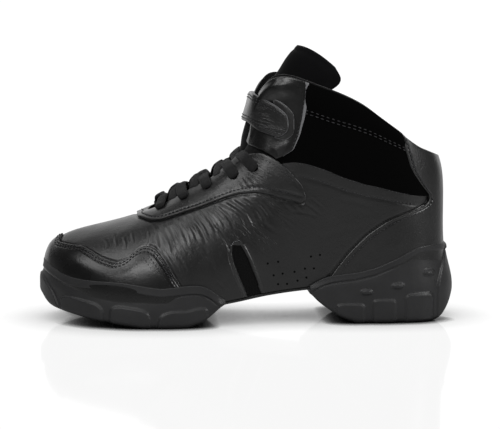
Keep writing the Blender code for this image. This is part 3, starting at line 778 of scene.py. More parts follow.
@dataclass
class Wardrobe:
    """All finishes of the shoe, made once."""

    leather: bpy.types.Material = field(init=False)
    gloss: bpy.types.Material = field(init=False)
    suede: bpy.types.Material = field(init=False)
    nap: bpy.types.Material = field(init=False)
    lining: bpy.types.Material = field(init=False)
    gore: bpy.types.Material = field(init=False)
    rubber: bpy.types.Material = field(init=False)
    lace: bpy.types.Material = field(init=False)
    thread: bpy.types.Material = field(init=False)
    cut: bpy.types.Material = field(init=False)
    hole: bpy.types.Material = field(init=False)
    insole: bpy.types.Material = field(init=False)

    def __post_init__(self) -> None:
        """Makes every material."""
        self.leather = LeatherFinish("black_leather", "#0a0a0a", "#060606", 0.36, coat=0.25,
                                     flex=1.6 * MM).make()
        self.gloss = LeatherFinish("glossy_leather", "#070707", "#040404", 0.27, coat=0.28, specular=0.35,
                                   relief=0.05 * MM, stretch=0.5).make()
        self.suede = SuedeFinish("black_suede", "#040404", "#020202", 0.95, sheen=0.02).make()
        self.nap = SuedeFinish("tongue_suede", "#0b0b0c", "#050506", 0.90, sheen=0.12).make()
        self.lining = ClothFinish("lining_cloth", "#0d0d0e", "#080808", 0.9).make()
        self.gore = ClothFinish("elastic_gore", "#030303", "#010101", 0.95, thread=1.0 * MM).make()
        self.rubber = RubberFinish("sole_rubber", "#1f1f20", "#171718", 0.50).make()
        self.lace = LaceFinish("woven_lace", "#070708", "#040405", 0.78).make()
        self.thread = PlainFinish("stitch_thread", "#202022", "#202022", 0.45).make()
        # Raw cut edges: pale leather, lightened further as a painted highlight along the edge; the bar tacks
        # share it.
        self.cut = PlainFinish("cut_edge_and_painted_highlight", "#6a6a6c", "#6a6a6c", 0.5).make()
        # Holes are flat near-black discs: painted shade for the depth of each hole.
        self.hole = PlainFinish("painted_hole_shade", "#020202", "#020202", 0.9, specular=0.05).make()
        self.insole = ClothFinish("insole_cloth", "#161618", "#0e0e10", 0.95, thread=1.2 * MM).make()


@dataclass(frozen=True)
class Crease:
    """Soft trough with ridges beside it, drawn in the side view in millimetres."""

    start: tuple[float, float]
    end: tuple[float, float]
    depth: float
    width: float
    bend: float = 0.0


CREASES: tuple[Crease, ...] = tuple(Crease(*row) for row in (
    ((-71, 71), (-69, 54), 0.35, 1.5, 1.0), ((-67, 71), (-61, 53), 0.50, 1.7, 1.5),
    ((-62, 70), (-53, 50), 0.55, 1.8, 2.0), ((-57, 71), (-51, 54), 0.30, 1.4, 1.0),
    ((-53, 73), (-43, 56), 0.45, 1.6, 1.5), ((-48, 75), (-37, 59), 0.55, 1.7, 2.0),
    ((-44, 76), (-31, 57), 0.75, 2.0, 2.0), ((-39, 77), (-28, 60), 0.45, 1.5, 1.5),
    ((-35, 79), (-24, 62), 0.60, 1.8, 1.5), ((-30, 81), (-18, 67), 0.45, 1.6, 1.5),
    ((-26, 82), (-12, 66), 0.60, 1.8, 2.0), ((-21, 84), (-3, 67), 0.90, 2.4, 3.0),
    ((-15, 86), (2, 66), 0.95, 2.4, 3.0), ((-9, 87), (8, 69), 0.80, 2.2, 3.0),
    ((-3, 88), (12, 73), 0.60, 1.9, 2.0), ((3, 89), (17, 78), 0.45, 1.7, 2.0),
    ((12, 87), (24, 79), 0.35, 1.6, 1.0), ((20, 86), (31, 77), 0.40, 1.6, 1.0),
    ((33, 84), (45, 75), 0.35, 1.4, 0.5), ((37, 87), (47, 79), 0.30, 1.3, 0.5),
    ((24, 78), (43, 74), 0.30, 1.6, 1.0), ((-63, 55), (-52, 36), 0.40, 1.6, 1.0),
    ((-57, 52), (-47, 33), 0.40, 1.5, 1.0), ((-52, 52), (-43, 36), 0.30, 1.4, 1.0),
    ((-28, 70), (-15, 52), 0.55, 1.7, 1.5), ((-24, 66), (-14, 49), 0.45, 1.5, 1.0),
    ((-34, 56), (-26, 38), 0.25, 2.0, 1.0), ((-98, 59), (-96, 54), 0.60, 1.5, 0.5),
    ((-91, 62), (-90, 55), 0.85, 1.5, -0.5), ((-86, 61), (-84, 54), 0.80, 1.5, 0.6),
    ((-80, 64), (-79, 58), 0.60, 1.5, -0.4), ((-25, 33), (-18, 26), 0.30, 1.4, 0.3),
    ((30, 38), (38, 29), 0.30, 2.0, 0.5), ((-2, 73), (14, 65), 0.35, 2.2, 1.0),
    ((55, 86), (80, 80), 0.15, 3.0, 1.0), ((45, 60), (72, 66), 0.12, 4.0, 2.0)))
STAY_CREASES: tuple[Crease, ...] = tuple(Crease(*row) for row in (
    ((-11, 99), (-6, 90), 0.35, 1.1, 0.3), ((-7, 99), (-2, 90), 0.40, 1.1, 0.3),
    ((-3, 99), (2, 91), 0.35, 1.1, 0.3), ((1, 98), (6, 92), 0.30, 1.0, 0.3),
    ((22, 104), (30, 92), 0.20, 1.3, 0.8), ((26, 103), (32, 91), 0.15, 1.1, 0.8)))


@dataclass
class CreaseField:
    """Height that the listed creases give to the leather."""

    last: Last
    creases: tuple[Crease, ...]
    medial_share: float = 0.8
    strength: float = 0.55
    fineness: float = 0.56
    lines: list[tuple[Array, float, float]] = field(init=False, repr=False)

    def __post_init__(self) -> None:
        """Lays every crease on both sides of the shoe."""
        self.lines = []
        for side, share in ((Side.LATERAL, 1.0), (Side.MEDIAL, self.medial_share)):
            for crease in self.creases:
                start, end = np.array(crease.start), np.array(crease.end)
                across = unit(np.array((end[1] - start[1], start[0] - end[0])))
                # Each medial crease moves up to 2.2 mm, because the two sides never crease alike.
                shift = 0.0 if side is Side.LATERAL else 2.2 * math.sin(3.0 * crease.start[0])
                middle = 0.5 * (start + end) - across * crease.bend
                path = self.last.trace([tuple(p + (shift, 0)) for p in (start, middle, end)], side, 3.0)
                points = self.last.point(path[:, 0], path[:, 1])
                self.lines.append((points, self.strength * crease.depth * MM * share,
                                   self.fineness * crease.width * MM))

    def height(self, points: Array) -> Array:
        """Height at points of the surface, in metres.

        Args:
            points: Array with a last axis of three.

        Returns:
            Heights, below zero in a trough.
        """
        flat = points.reshape(-1, 3)
        total = np.zeros(len(flat))
        for line, depth, width in self.lines:
            low, high = line.min(0) - 5 * width, line.max(0) + 5 * width
            near = np.where(((flat > low) & (flat < high)).all(1))[0]
            if not len(near):
                continue
            here = flat[near]
            best, along = np.full(len(near), 1.0), np.zeros(len(near))
            for k, (a, b) in enumerate(zip(line[:-1], line[1:])):
                run = b - a
                t = np.clip(((here - a) @ run) / (run @ run), 0.0, 1.0)
                gap = np.linalg.norm(here - a - t[:, None] * run, axis=1)
                closer = gap < best
                best = np.where(closer, gap, best)
                along = np.where(closer, (k + t) / (len(line) - 1), along)
            fade = np.clip(4 * along * (1 - along) * 1.4 + 0.12, 0.0, 1.0) * (1 - 0.35 * along)
            r = best / width
            total[near] += depth * fade * (-np.exp(-r * r) + 0.55 * np.exp(-(r - 1.7) ** 2 * 1.3))
        return total.reshape(points.shape[:-1])


def add_mesh(shape: bmesh.types.BMesh, part: bmesh.types.BMesh) -> None:
    """Adds one bmesh to another and frees it, which is quick for many small parts."""
    held = bpy.data.meshes.new("held")
    part.to_mesh(held)
    part.free()
    shape.from_mesh(held)
    bpy.data.meshes.remove(held)


@dataclass
class Stitcher:
    """Sews rows of stitches: many small rounded stitches joined in one mesh."""

    last: Last
    pitch: float = 2.7 * MM
    long: float = 1.9 * MM
    thick: float = 0.75 * MM
    runs: list[tuple[Array, Array, float]] = field(default_factory=list)

    def sew(self, places: Array, height: float, grow: float = 1.0) -> None:
        """Adds a row along places of the last at a height over it."""
        points = self.last.lifted(places[:, 0], places[:, 1], height)
        self.sew_points(points, self.last.normal(places[:, 0], places[:, 1]), grow)

    def sew_points(self, points: Array, normals: Array, grow: float = 1.0) -> None:
        """Adds a row along points with their outward directions, with stitches as much larger as asked."""
        both = even_steps(np.hstack((points, normals * self.pitch * 0.001)), self.pitch * grow)
        self.runs.append((both[:, :3], both[:, 3:], grow))

    def make(self, name: str, finish: bpy.types.Material) -> bpy.types.Object:
        """Joined mesh of every stitch.

        Args:
            name: Piece's name.
            finish: Thread material.

        Returns:
            The object.
        """
        shape = bmesh.new()
        for points, normals, grow in self.runs:
            size = Matrix.Diagonal((self.long * grow / 2, self.thick / 2, self.thick / 2, 1.0))
            row = bmesh.new()
            for k, (a, b, n) in enumerate(zip(points[:-1], points[1:], normals[:-1])):
                along, up = Vector(b - a).normalized(), Vector(n).normalized()
                side = up.cross(along).normalized()
                turn = Matrix((along, side, along.cross(side))).transposed().to_4x4()
                where = Matrix.Translation(Vector(0.5 * (a + b)))
                bmesh.ops.create_uvsphere(row, u_segments=6, v_segments=4, radius=1.0,
                                          matrix=where @ turn @ size)
                if k % 40 == 39:
                    add_mesh(shape, row)
                    row = bmesh.new()
            add_mesh(shape, row)
        return finish_mesh(name, shape, (finish,), recalc=False)


@dataclass
class Panel:
    """Sheet of leather or suede on the last, with turned edges and an underside."""

    last: Last
    name: str
    base: float
    thick: float
    columns: int
    rows: int
    edge_across: float = 0.02
    edge_up: float = 0.03

    def make(self, place: Callable[[Array, Array], tuple[Array, Array]],
             finish: bpy.types.Material,
             relief: Callable[[Array, Array, Array, Array], Array] | None = None,
             cut: bpy.types.Material | None = None) -> bpy.types.Object:
        """Builds the panel.

        Args:
            place: Maps shares across and up the panel to places on the last.
            finish: Its material.
            relief: Extra height from places and shares.
            cut: Finish of the cut edge at the first column, pale raw leather with a painted highlight, if it
                shows.

        Returns:
            The object, a closed sheet.
        """
        a, full_a = turned(self.columns, self.edge_across)
        b, full_b = turned(self.rows, self.edge_up)
        aa, bb = np.meshgrid(a, b, indexing="ij")
        full = np.minimum(full_a[:, None], full_b[None, :])
        u, v = place(aa, bb)
        extra = relief(u, v, aa, bb) if relief else 0.0
        top = self.last.lifted(u, v, self.base + (self.thick + extra) * full)
        under = self.last.lifted(u, v, self.base)
        hollow = self.last.lifted(u, v, self.base + 0.25 * self.thick)
        under = under + (hollow - under) * soft_step(full, 0.0, 0.9)[..., None]
        return grid_object(self.name, closed(top, under), (finish, cut or finish),
                           lambda i, j: np.where(i < TURNED, 1, 0))


def both_sides(u: Array, side: Side) -> Array:
    """Lateral places moved to a side."""
    return u if side is Side.LATERAL else LOOP - u


@dataclass
class UpperShell:
    """Hollow body of the upper: creased leather outside, lining inside, one closed wall."""

    last: Last
    wardrobe: Wardrobe
    lift: float = 0.3 * MM  # of the leather's face over the last
    wall: float = 2.2 * MM
    padding: float = 3.0 * MM  # at the collar, inside
    sunk: float = 1.1 * MM  # how far the body steps down above the quarter's edge
    folds: CreaseField = field(init=False, repr=False)

    def __post_init__(self) -> None:
        """Prepares the creases."""
        self.folds = CreaseField(self.last, CREASES)

    def columns(self) -> Array:
        """Places round the shoe, closest where the leather creases."""
        spans = ((0, 2, 26), (2, 5.2, 46), (5.2, 7.3, 60), (7.3, 8.4, 60), (8.4, 11.6, 116), (11.6, 14, 56),
                 (14, 16.4, 50), (16.4, 19.6, 70), (19.6, 22.8, 60), (22.8, 26, 34), (26, 28, 20))
        parts = [np.linspace(a, b, n, endpoint=False) for a, b, n in spans]
        return np.concatenate((*parts, (float(LOOP),)))

    def slot_depth(self, points: Array) -> Array:
        """How deep the elastic gore's slot is at points, from 0 to 1, with a pressed line along its edges."""
        x, z = points[..., 0] / MM, (points[..., 2] + self.last.drop) / MM
        front = np.interp(z, (18, 28, 37, 46, 52, 56), (-2.5, -6.3, -10.3, -13.6, -14.6, -14.2))
        back = np.interp(z, (18, 24, 32, 40, 48, 56), (7.0, 5.2, 2.4, -0.8, -3.9, -8.2))
        inside = np.minimum(x - front, back - x)
        band = 0.4 * np.exp(-((inside + 2.6) / 0.45) ** 2) - 0.25 * np.exp(-((inside + 1.2) / 0.6) ** 2)
        return (soft_step(inside, -0.5, 0.5) + band) * soft_step(57.5 - z, 0.0, 1.2)

    def seams(self, u: Array, v: Array) -> Array:
        """How far the leather dips beside the overlays' edges, as a share of a seam's depth."""
        half = np.minimum(u, LOOP - u)
        cap, stay = v - CAP_EDGE.up(u), STAY_LOW.up(u) - v
        back = half - COUNTER_EDGE.along(np.minimum(v, 0.60))
        band = QUARTER_TOP.up(u) - 0.085 - v
        dips = np.exp(-((cap - 0.006) / 0.010) ** 2) * (half > 9.5)
        dips = dips + np.exp(-((stay - 0.004) / 0.010) ** 2) * (half > 5.9)
        dips = dips + 1.6 * np.exp(-((back - 0.03) / 0.05) ** 2) * (v < 0.58)
        return dips + 0.4 * np.exp(-(band / 0.009) ** 2) * (half < 6.3)

    def make(self) -> bpy.types.Object:
        """Builds the shell and hides the plain one."""
        u = self.columns()
        top = QUARTER_TOP.up(u)
        # Up the outside, over the quarter's edge to the top, then down the lining over the padding.
        steps = np.linspace(0.0, 1.0, 98)
        v_out = top[:, None] * steps[None, :]
        uu = np.repeat(u[:, None], len(steps), 1)
        flat = self.last.point(uu, v_out)
        height = self.lift + self.folds.height(flat) * soft_step(v_out, 0.02, 0.10)
        height = height - 1.2 * MM * self.slot_depth(flat) - 0.7 * MM * self.seams(uu, v_out)
        skin = self.last.lifted(uu, v_out, height)
        edge = [self.last.lifted(u, top, height[:, -1] - self.sunk * k) for k in (0.10, 0.45, 1.0)]
        base = [self.last.lifted(u, top + (1.0 - top) * t, self.lift - self.sunk)
                for t in np.linspace(0.0, 1.0, 7)[1:]]
        half = np.minimum(u, LOOP - u)
        swell = self.padding * soft_step(5.8 - half, 0.0, 0.5)
        inner = []
        for v in np.linspace(1.0, 0.0, 18):
            thinned = 0.8 if v == 1.0 else 1.0
            deep = -(self.wall + swell * soft_step(v, 0.62, 0.80)) * thinned
            inner.append(self.last.lifted(u, v, deep))
        crest = 0.5 * (base[-1] + inner[0]) + self.last.rise(u, np.ones_like(u)) * 0.9 * MM
        rows = [skin[:, k] for k in range(len(steps))] + edge + base + [crest] + inner + [skin[:, 0]]
        points = np.stack(rows, 1)
        outside = len(steps) + 2

        def pick(i: Array, j: Array) -> Array:
            """Leather on the outside, lining inside."""
            return np.where(j < outside, 0, 1)

        made = grid_object("upper_shell", points, (self.wardrobe.leather, self.wardrobe.lining), pick)
        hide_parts("upper")
        return made

    def make_gores(self) -> None:
        """Elastic gores in the slots of both sides."""
        for side in Side:
            name = "gore_" + side.name.lower()
            front, back = (
                np.array([self.last.find(x, z, side) for x, z in edge]) for edge in (
                    ((-3.5, 21), (-6.5, 28), (-10.5, 37), (-13.9, 46), (-15.0, 53), (-14.6, 57.5)),
                    ((6.6, 21), (4.3, 28), (0.7, 37), (-2.9, 46), (-6.5, 53), (-8.6, 57.5))))

            def place(a: Array, b: Array) -> tuple[Array, Array]:
                """Between the slot's front and back edges."""
                ticks = np.arange(len(front))
                u, v = (np.interp(b * ticks[-1], ticks, front[:, k]) * (1 - a)
                        + np.interp(b * ticks[-1], ticks, back[:, k]) * a for k in (0, 1))
                return u, v

            panel = Panel(self.last, name, -1.1 * MM, 0.5 * MM, 18, 50)
            made = panel.make(place, self.wardrobe.gore,
                              lambda u, v, a, b: 0.12 * MM * np.sin(a * 40) * np.ones_like(b))
        tacks = Stitcher(self.last, pitch=1.2 * MM, long=1.0 * MM, thick=0.55 * MM)
        for side in Side:
            ends = [self.last.find(x, z, side) for x, z in ((-15.6, 56.0), (-13.4, 58.8), (-9.6, 59.6))]
            tacks.sew(np.array(ends), 0.60 * MM)
        tacks.make("bar_tacks", self.wardrobe.cut)


@dataclass
class Overlays:
    """Leather overlays: toe cap, eyestay, counter, wings and suede collar."""

    last: Last
    wardrobe: Wardrobe
    stitcher: Stitcher
    base: float = 0.1 * MM
    thick: float = 1.65 * MM
    cap_seams: tuple[float, ...] = (0.024, 0.052)
    stay_seam: float = 0.028
    counter_seam: float = 0.15
    press: float = 0.35 * MM  # how deep a seam pulls the leather in

    def stitch(self, u: Array, v: Array, proud: float = 0.05 * MM) -> None:
        """Sews a row at places of the last, a little proud of an overlay's face."""
        self.stitcher.sew(np.stack((u, v), 1), self.base + self.thick + proud)

    def toe_cap(self) -> bpy.types.Object:
        """Cap round the toe with a scalloped upper edge."""
        start, stop = 9.60, LOOP - 9.60

        def place(a: Array, b: Array) -> tuple[Array, Array]:
            """From under the sole's rim to the cap's edge."""
            u = start + (stop - start) * a
            return u, 0.03 + (np.maximum(CAP_EDGE.up(u), 0.05) - 0.03) * b

        def relief(u: Array, v: Array, a: Array, b: Array) -> Array:
            """Pillow of the cap, pressed in along its seam."""
            down = CAP_EDGE.up(u) - v
            seam = sum(np.exp(-((down - at) / 0.007) ** 2) for at in self.cap_seams)
            pillow = 0.6 * soft_step(1 - b, 0.12, 0.45) * soft_step(np.minimum(a, 1 - a), 0.0, 0.05)
            return MM * pillow - self.press * seam

        panel = Panel(self.last, "toe_cap_leather", self.base, self.thick, 300, 40, 0.002, 0.02)
        made = panel.make(place, self.wardrobe.gloss, relief)
        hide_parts("toe_cap")
        u = np.linspace(9.9, LOOP - 9.9, 400)
        for drop in self.cap_seams:
            self.stitch(u, CAP_EDGE.up(u) - drop)
        v = np.linspace(0.12, 0.45, 40)
        tail = np.interp(v, (0.09, 0.175, 0.268, 0.369, 0.474), (9.50, 9.70, 9.95, 10.21, 10.49))
        for side in Side:
            for shift in (0.10, 0.22, 0.34):
                self.stitch(both_sides(tail + shift, side), v - shift * 0.1, 0.25 * MM)
        return made

    def eyestay(self) -> bpy.types.Object:
        """Stay round the throat with a tip on each side."""
        folds = CreaseField(self.last, STAY_CREASES)
        start, stop = 5.89, LOOP - 5.89

        def place(a: Array, b: Array) -> tuple[Array, Array]:
            """From the stay's lower edge to the throat."""
            u = start + (stop - start) * a
            low, high = STAY_LOW.up(u), STAY_HIGH.up(u)
            return u, low + (np.maximum(high, low + 0.004) - low) * b

        def relief(u: Array, v: Array, a: Array, b: Array) -> Array:
            """Creases and a slight pillow."""
            seam = np.exp(-((v - STAY_LOW.up(u) - self.stay_seam) / 0.007) ** 2)
            pillow = 0.3 * MM * np.sin(np.pi * b) ** 2
            return folds.height(self.last.point(u, v)) + pillow - self.press * seam

        panel = Panel(self.last, "eyestay_leather", self.base, self.thick, 320, 34, 0.002, 0.03)
        made = panel.make(place, self.wardrobe.leather, relief)
        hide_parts("eyestay")
        u = np.linspace(6.2, LOOP - 6.2, 500)
        self.stitch(u, np.minimum(STAY_LOW.up(u) + self.stay_seam, STAY_HIGH.up(u)))
        u = np.linspace(6.25, 7.95, 80)
        for side in Side:
            self.stitch(both_sides(u, side), np.maximum(STAY_HIGH.up(u) - 0.03, STAY_LOW.up(u)))
        return made

    def counter(self) -> bpy.types.Object:
        """Counter round the heel, narrow at its waist."""

        def place(a: Array, b: Array) -> tuple[Array, Array]:
            """From the heel's centre line to the front edge on both sides."""
            v = 0.02 + (0.985 - 0.02) * b
            end = COUNTER_EDGE.along(v)
            return end * (2 * a - 1), v

        def relief(u: Array, v: Array, a: Array, b: Array) -> Array:
            """Slight fullness over the heel."""
            inside = COUNTER_EDGE.along(v) - np.abs(u)
            seam = np.exp(-((inside - self.counter_seam) / 0.035) ** 2)
            return 0.3 * MM * np.sin(np.pi * a) ** 2 - self.press * seam

        panel = Panel(self.last, "counter_leather", self.base, self.thick, 130, 110, 0.006, 0.006)
        made = panel.make(place, self.wardrobe.leather, relief)
        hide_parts("counter")
        for side in Side:
            for start, stop, count, drop in ((0.10, 0.59, 120, self.counter_seam * 0.06),
                                             (0.63, 0.97, 80, 0.0)):
                v = np.linspace(start, stop, count)
                u = COUNTER_EDGE.along(v) - self.counter_seam
                self.stitch(both_sides(u, side), v - drop, 0.1 * MM)
        return made

    def wings(self) -> None:
        """Padded glossy panels at the front of the ankle."""
        for side in Side:
            def place(a: Array, b: Array) -> tuple[Array, Array]:
                """From the back seam to the front edge."""
                v = 0.628 + (0.995 - 0.628) * b
                back, front = WING_BACK.along(v), WING_FRONT.along(v)
                return both_sides(back + (front - back) * a, side), v

            def relief(u: Array, v: Array, a: Array, b: Array) -> Array:
                """Padding under the panel, flat along its back seam, pressed in by the strap."""
                pillow = soft_step(a, 0.08, 0.40) * soft_step(1 - a, 0.0, 0.30)
                lobe = soft_step(b, 0.68, 0.84) * soft_step(1 - b, 0.0, 0.12)
                return MM * pillow * (3.0 * lobe + 0.6 * soft_step(0.22 - b, 0.0, 0.1))

            name = side.name.lower()
            panel = Panel(self.last, "wing_leather_" + name, self.base, self.thick, 60, 70, 0.02, 0.015)
            # The back edge takes the pale cut-edge finish, a painted highlight on raw leather.
            made = panel.make(place, self.wardrobe.gloss, relief, self.wardrobe.cut)
            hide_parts("wing_" + name)
            v = np.linspace(0.655, 0.985, 60)
            self.stitch(both_sides(WING_BACK.along(v) + 0.09, side), v)

    def collar_seam(self, a: Array) -> Array:
        """Share of the way up at which the collar's double row of stitches runs."""
        return 0.60 + 0.13 * (1 - a) ** 1.5

    def collars(self) -> None:
        """Suede collar: flat field below, padded roll above a double row of stitches."""
        for side in Side:
            def place(a: Array, b: Array) -> tuple[Array, Array]:
                """From under the counter to under the wing."""
                v = 0.55 + (1.0 - 0.55) * b
                start = COUNTER_EDGE.along(np.maximum(v, 0.60)) - 0.25
                stop = WING_BACK.along(np.maximum(v, 0.628)) + 0.25
                u = start + (stop - start) * a
                low = QUARTER_TOP.up(u) - 0.02
                return both_sides(u, side), low + (0.998 - low) * b

            def relief(u: Array, v: Array, a: Array, b: Array) -> Array:
                """Puffed roll over the stitched line, and a soft field under it."""
                seam = self.collar_seam(a)
                roll = np.sin(np.pi * np.clip((b - seam) / (1.04 - seam), 0, 1)) ** 0.7
                flat = np.sin(np.pi * np.clip(b / seam, 0, 1)) ** 0.8
                ends = soft_step(np.minimum(a, 1 - a), 0.0, 0.08)
                return MM * (1.9 * np.where(b > seam, roll, 0.0) + 0.9 * np.where(b < seam, flat, 0.0)) * ends

            name = side.name.lower()
            panel = Panel(self.last, "collar_suede_" + name, -0.9 * MM, 1.3 * MM, 110, 80, 0.004, 0.006)
            made = panel.make(place, self.wardrobe.suede, relief)
            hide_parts("collar_panel_" + name)
            for gap in (-0.020, 0.022):
                a = np.linspace(0.06, 0.94, 120)
                u, v = place(a, self.collar_seam(a) + gap)
                self.stitcher.sew(np.stack((u, v), 1), 0.9 * MM, 1.35)

    def quarter_band(self) -> None:
        """Two rows of stitches along the quarter's folded top band."""
        u = np.linspace(2.5, 6.1, 160)
        for side in Side:
            for drop in (0.080, 0.022):
                self.stitcher.sew(np.stack((both_sides(u, side), QUARTER_TOP.up(u) - drop), 1), 0.42 * MM)


@dataclass
class Perforations:
    """Punched air holes low on the quarter, drawn as discs of painted shade."""

    last: Last
    wardrobe: Wardrobe
    spots: tuple[tuple[float, float], ...] = (
        (9, 44), (16, 45), (38, 48), (44, 49), (13, 36), (19, 37), (27, 38), (34, 40), (40, 40),
        (16, 30), (22, 30), (29, 32), (35, 34))
    radius: float = 0.75 * MM

    def make(self) -> None:
        """One joined mesh of small dark discs that paint the shade inside the holes."""
        shape = bmesh.new()
        for side in Side:
            for place in self.spots:
                punch(shape, self.last.spot(place, side, 0.33 * MM), self.radius, 10)
        made = finish_mesh("perforation_shade_discs", shape, (self.wardrobe.hole,), recalc=False)


@dataclass(frozen=True)
class LaceRow:
    """One pair of eyelets in the side view in millimetres: eyelet, throat edge and the lace's crest."""

    eyelet: tuple[float, float]
    edge: tuple[float, float]
    crest: tuple[float, float]


@dataclass
class Laces:
    """Flat laces through five pairs of eyelets: one straight bar, then crossings that dive under the edge."""

    last: Last
    wardrobe: Wardrobe
    wide: float = 7.4 * MM
    thick: float = 2.5 * MM
    skin: float = 1.8 * MM  # height of the stay's face, which the lace lies on
    sunk: float = 1.5 * MM  # how deep it ends in an eyelet
    rows: tuple[LaceRow, ...] = tuple(LaceRow(*row) for row in (
        ((-60.2, 77.8), (-59.4, 79.2), (-56.0, 87.4)), ((-44.4, 85.2), (-45.2, 87.6), (-44.0, 95.0)),
        ((-29.1, 92.4), (-30.4, 96.0), (-29.0, 101.0)), ((-11.6, 100.0), (-14.0, 104.6), (-14.6, 107.4)),
        ((1.6, 106.2), (-3.6, 112.0), (-7.0, 114.0))))

    def between(self, row: float, key: str) -> tuple[float, float]:
        """Place of a table entry between two rows."""
        marks = np.array([getattr(r, key) for r in self.rows])
        ticks = np.arange(len(self.rows))
        return float(np.interp(row, ticks, marks[:, 0])), float(np.interp(row, ticks, marks[:, 1]))

    def run(self, row: int, start: Side, over: float, straight: bool = False) -> Array:
        """Route of one lace run over the throat.

        Args:
            row: Eyelet row that the lace leaves.
            start: Side of that eyelet.
            over: Extra height at the crossing in metres.
            straight: Whether it ends in the eyelet opposite, not under the edge of the row before.

        Returns:
            Rows of a point and the outward direction there.
        """
        other = Side.MEDIAL if start is Side.LATERAL else Side.LATERAL
        spot, mark, lie = self.last.spot, self.rows[row], self.skin + 0.5 * self.thick
        way = tuple(0.5 * (a + b) for a, b in zip(mark.eyelet, mark.edge))
        near = [spot(mark.eyelet, start, -self.sunk), spot(mark.eyelet, start, lie - 0.3 * MM),
                spot(way, start, lie + 0.3 * MM), spot(mark.edge, start, lie + 0.2 * MM)]
        back = 0.0 if straight else 0.50
        if straight:
            far = [spot(mark.edge, other, lie + 0.2 * MM), spot(mark.eyelet, other, lie - 0.3 * MM),
                   spot(mark.eyelet, other, -self.sunk)]
        else:
            edge = self.between(row - back, "edge")
            far = [spot(edge, other, 0.8 * MM), spot(edge, other, -3.6 * MM),
                   spot((edge[0], edge[1] - 3.0), other, -4.4 * MM)]
        top = np.array(self.between(row - 0.25 * back, "crest")) * MM - (0.0, self.last.drop)
        rise = np.array((-0.42, 0.0, 0.91))  # square to the throat's slope
        under = 0.5 * self.thick + 2.2 * MM - over
        crest = np.array((top[0], self.last.middle(top[0]), top[1])) - rise * under
        middle = [np.concatenate((crest, rise))]
        for end in (near[-1], far[0]):
            part = 0.42 * end + 0.58 * middle[0]
            part[:3] += 0.14 * np.linalg.norm(end[:3] - crest) * unit(part[3:])
            middle = [part] + middle if end is near[-1] else middle + [part]
        marks = np.array(near + middle + far) * (1, 1, 1, 0.004, 0.004, 0.004)
        return smooth_line(marks, 0.9 * MM)

    def ribbon(self, name: str, route: Array) -> bpy.types.Object:
        """Flat lace with rounded edges along a route.

        Args:
            name: Piece's name.
            route: Rows of a point and the outward direction there.

        Returns:
            The object.
        """
        place, up = route[:, :3], route[:, 3:]
        along = unit(np.gradient(place, axis=0))
        up = unit(up - along * (up * along).sum(1, keepdims=True))
        across = np.cross(along, up)
        turns = np.linspace(0, 2 * np.pi, 25)
        wide = np.sign(np.cos(turns)) * np.abs(np.cos(turns)) ** 0.70 * self.wide / 2
        high = np.sign(np.sin(turns)) * np.abs(np.sin(turns)) ** 0.75 * self.thick / 2
        narrow = 0.62 + 0.38 * soft_step(np.arange(len(place)), 1.0, 7.0)
        points = (place[:, None] + across[:, None] * wide[None, :, None] * narrow[:, None, None]
                  + up[:, None] * high[None, :, None])
        ends = [np.repeat(place[k:k + 1, None], len(turns), 1) for k in (0, len(place) - 1)]
        made = grid_object(name, np.concatenate((ends[0], points, ends[1])), (self.wardrobe.lace,))
        return made

    def make(self) -> None:
        """All lace runs, each crossing its neighbour above and below in turn, and the eyelet holes as dark
        discs of painted shade.
        """
        step = 2.2 * MM
        runs = [("lace_bar", self.run(0, Side.LATERAL, 1.2 * MM, True))]
        for k in range(1, len(self.rows)):
            high = step if k % 2 else 0.0
            runs.append(("lace_lateral_%d" % k, self.run(k, Side.LATERAL, high)))
            runs.append(("lace_medial_%d" % k, self.run(k, Side.MEDIAL, step - high)))
        made = [self.ribbon(name, route) for name, route in runs]
        for piece, node in zip(made, ("lace_1", "lace_2", "lace_3", "lace_4", "lace_5", "lace_6")):
            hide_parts(node)
        shape = bmesh.new()
        for row in self.rows:
            for side in Side:
                punch(shape, self.last.spot(row.eyelet, side, self.skin + 0.35 * MM), 2.6 * MM, 16)
        holes = finish_mesh("eyelet_hole_shade_discs", shape, (self.wardrobe.hole,), recalc=False)


@dataclass(frozen=True)
class TongueRow:
    """Row of the tongue: centre, half width and edge, in shares."""

    x: float
    z: float
    half: float
    edge_x: float
    edge_z: float
    thick: float


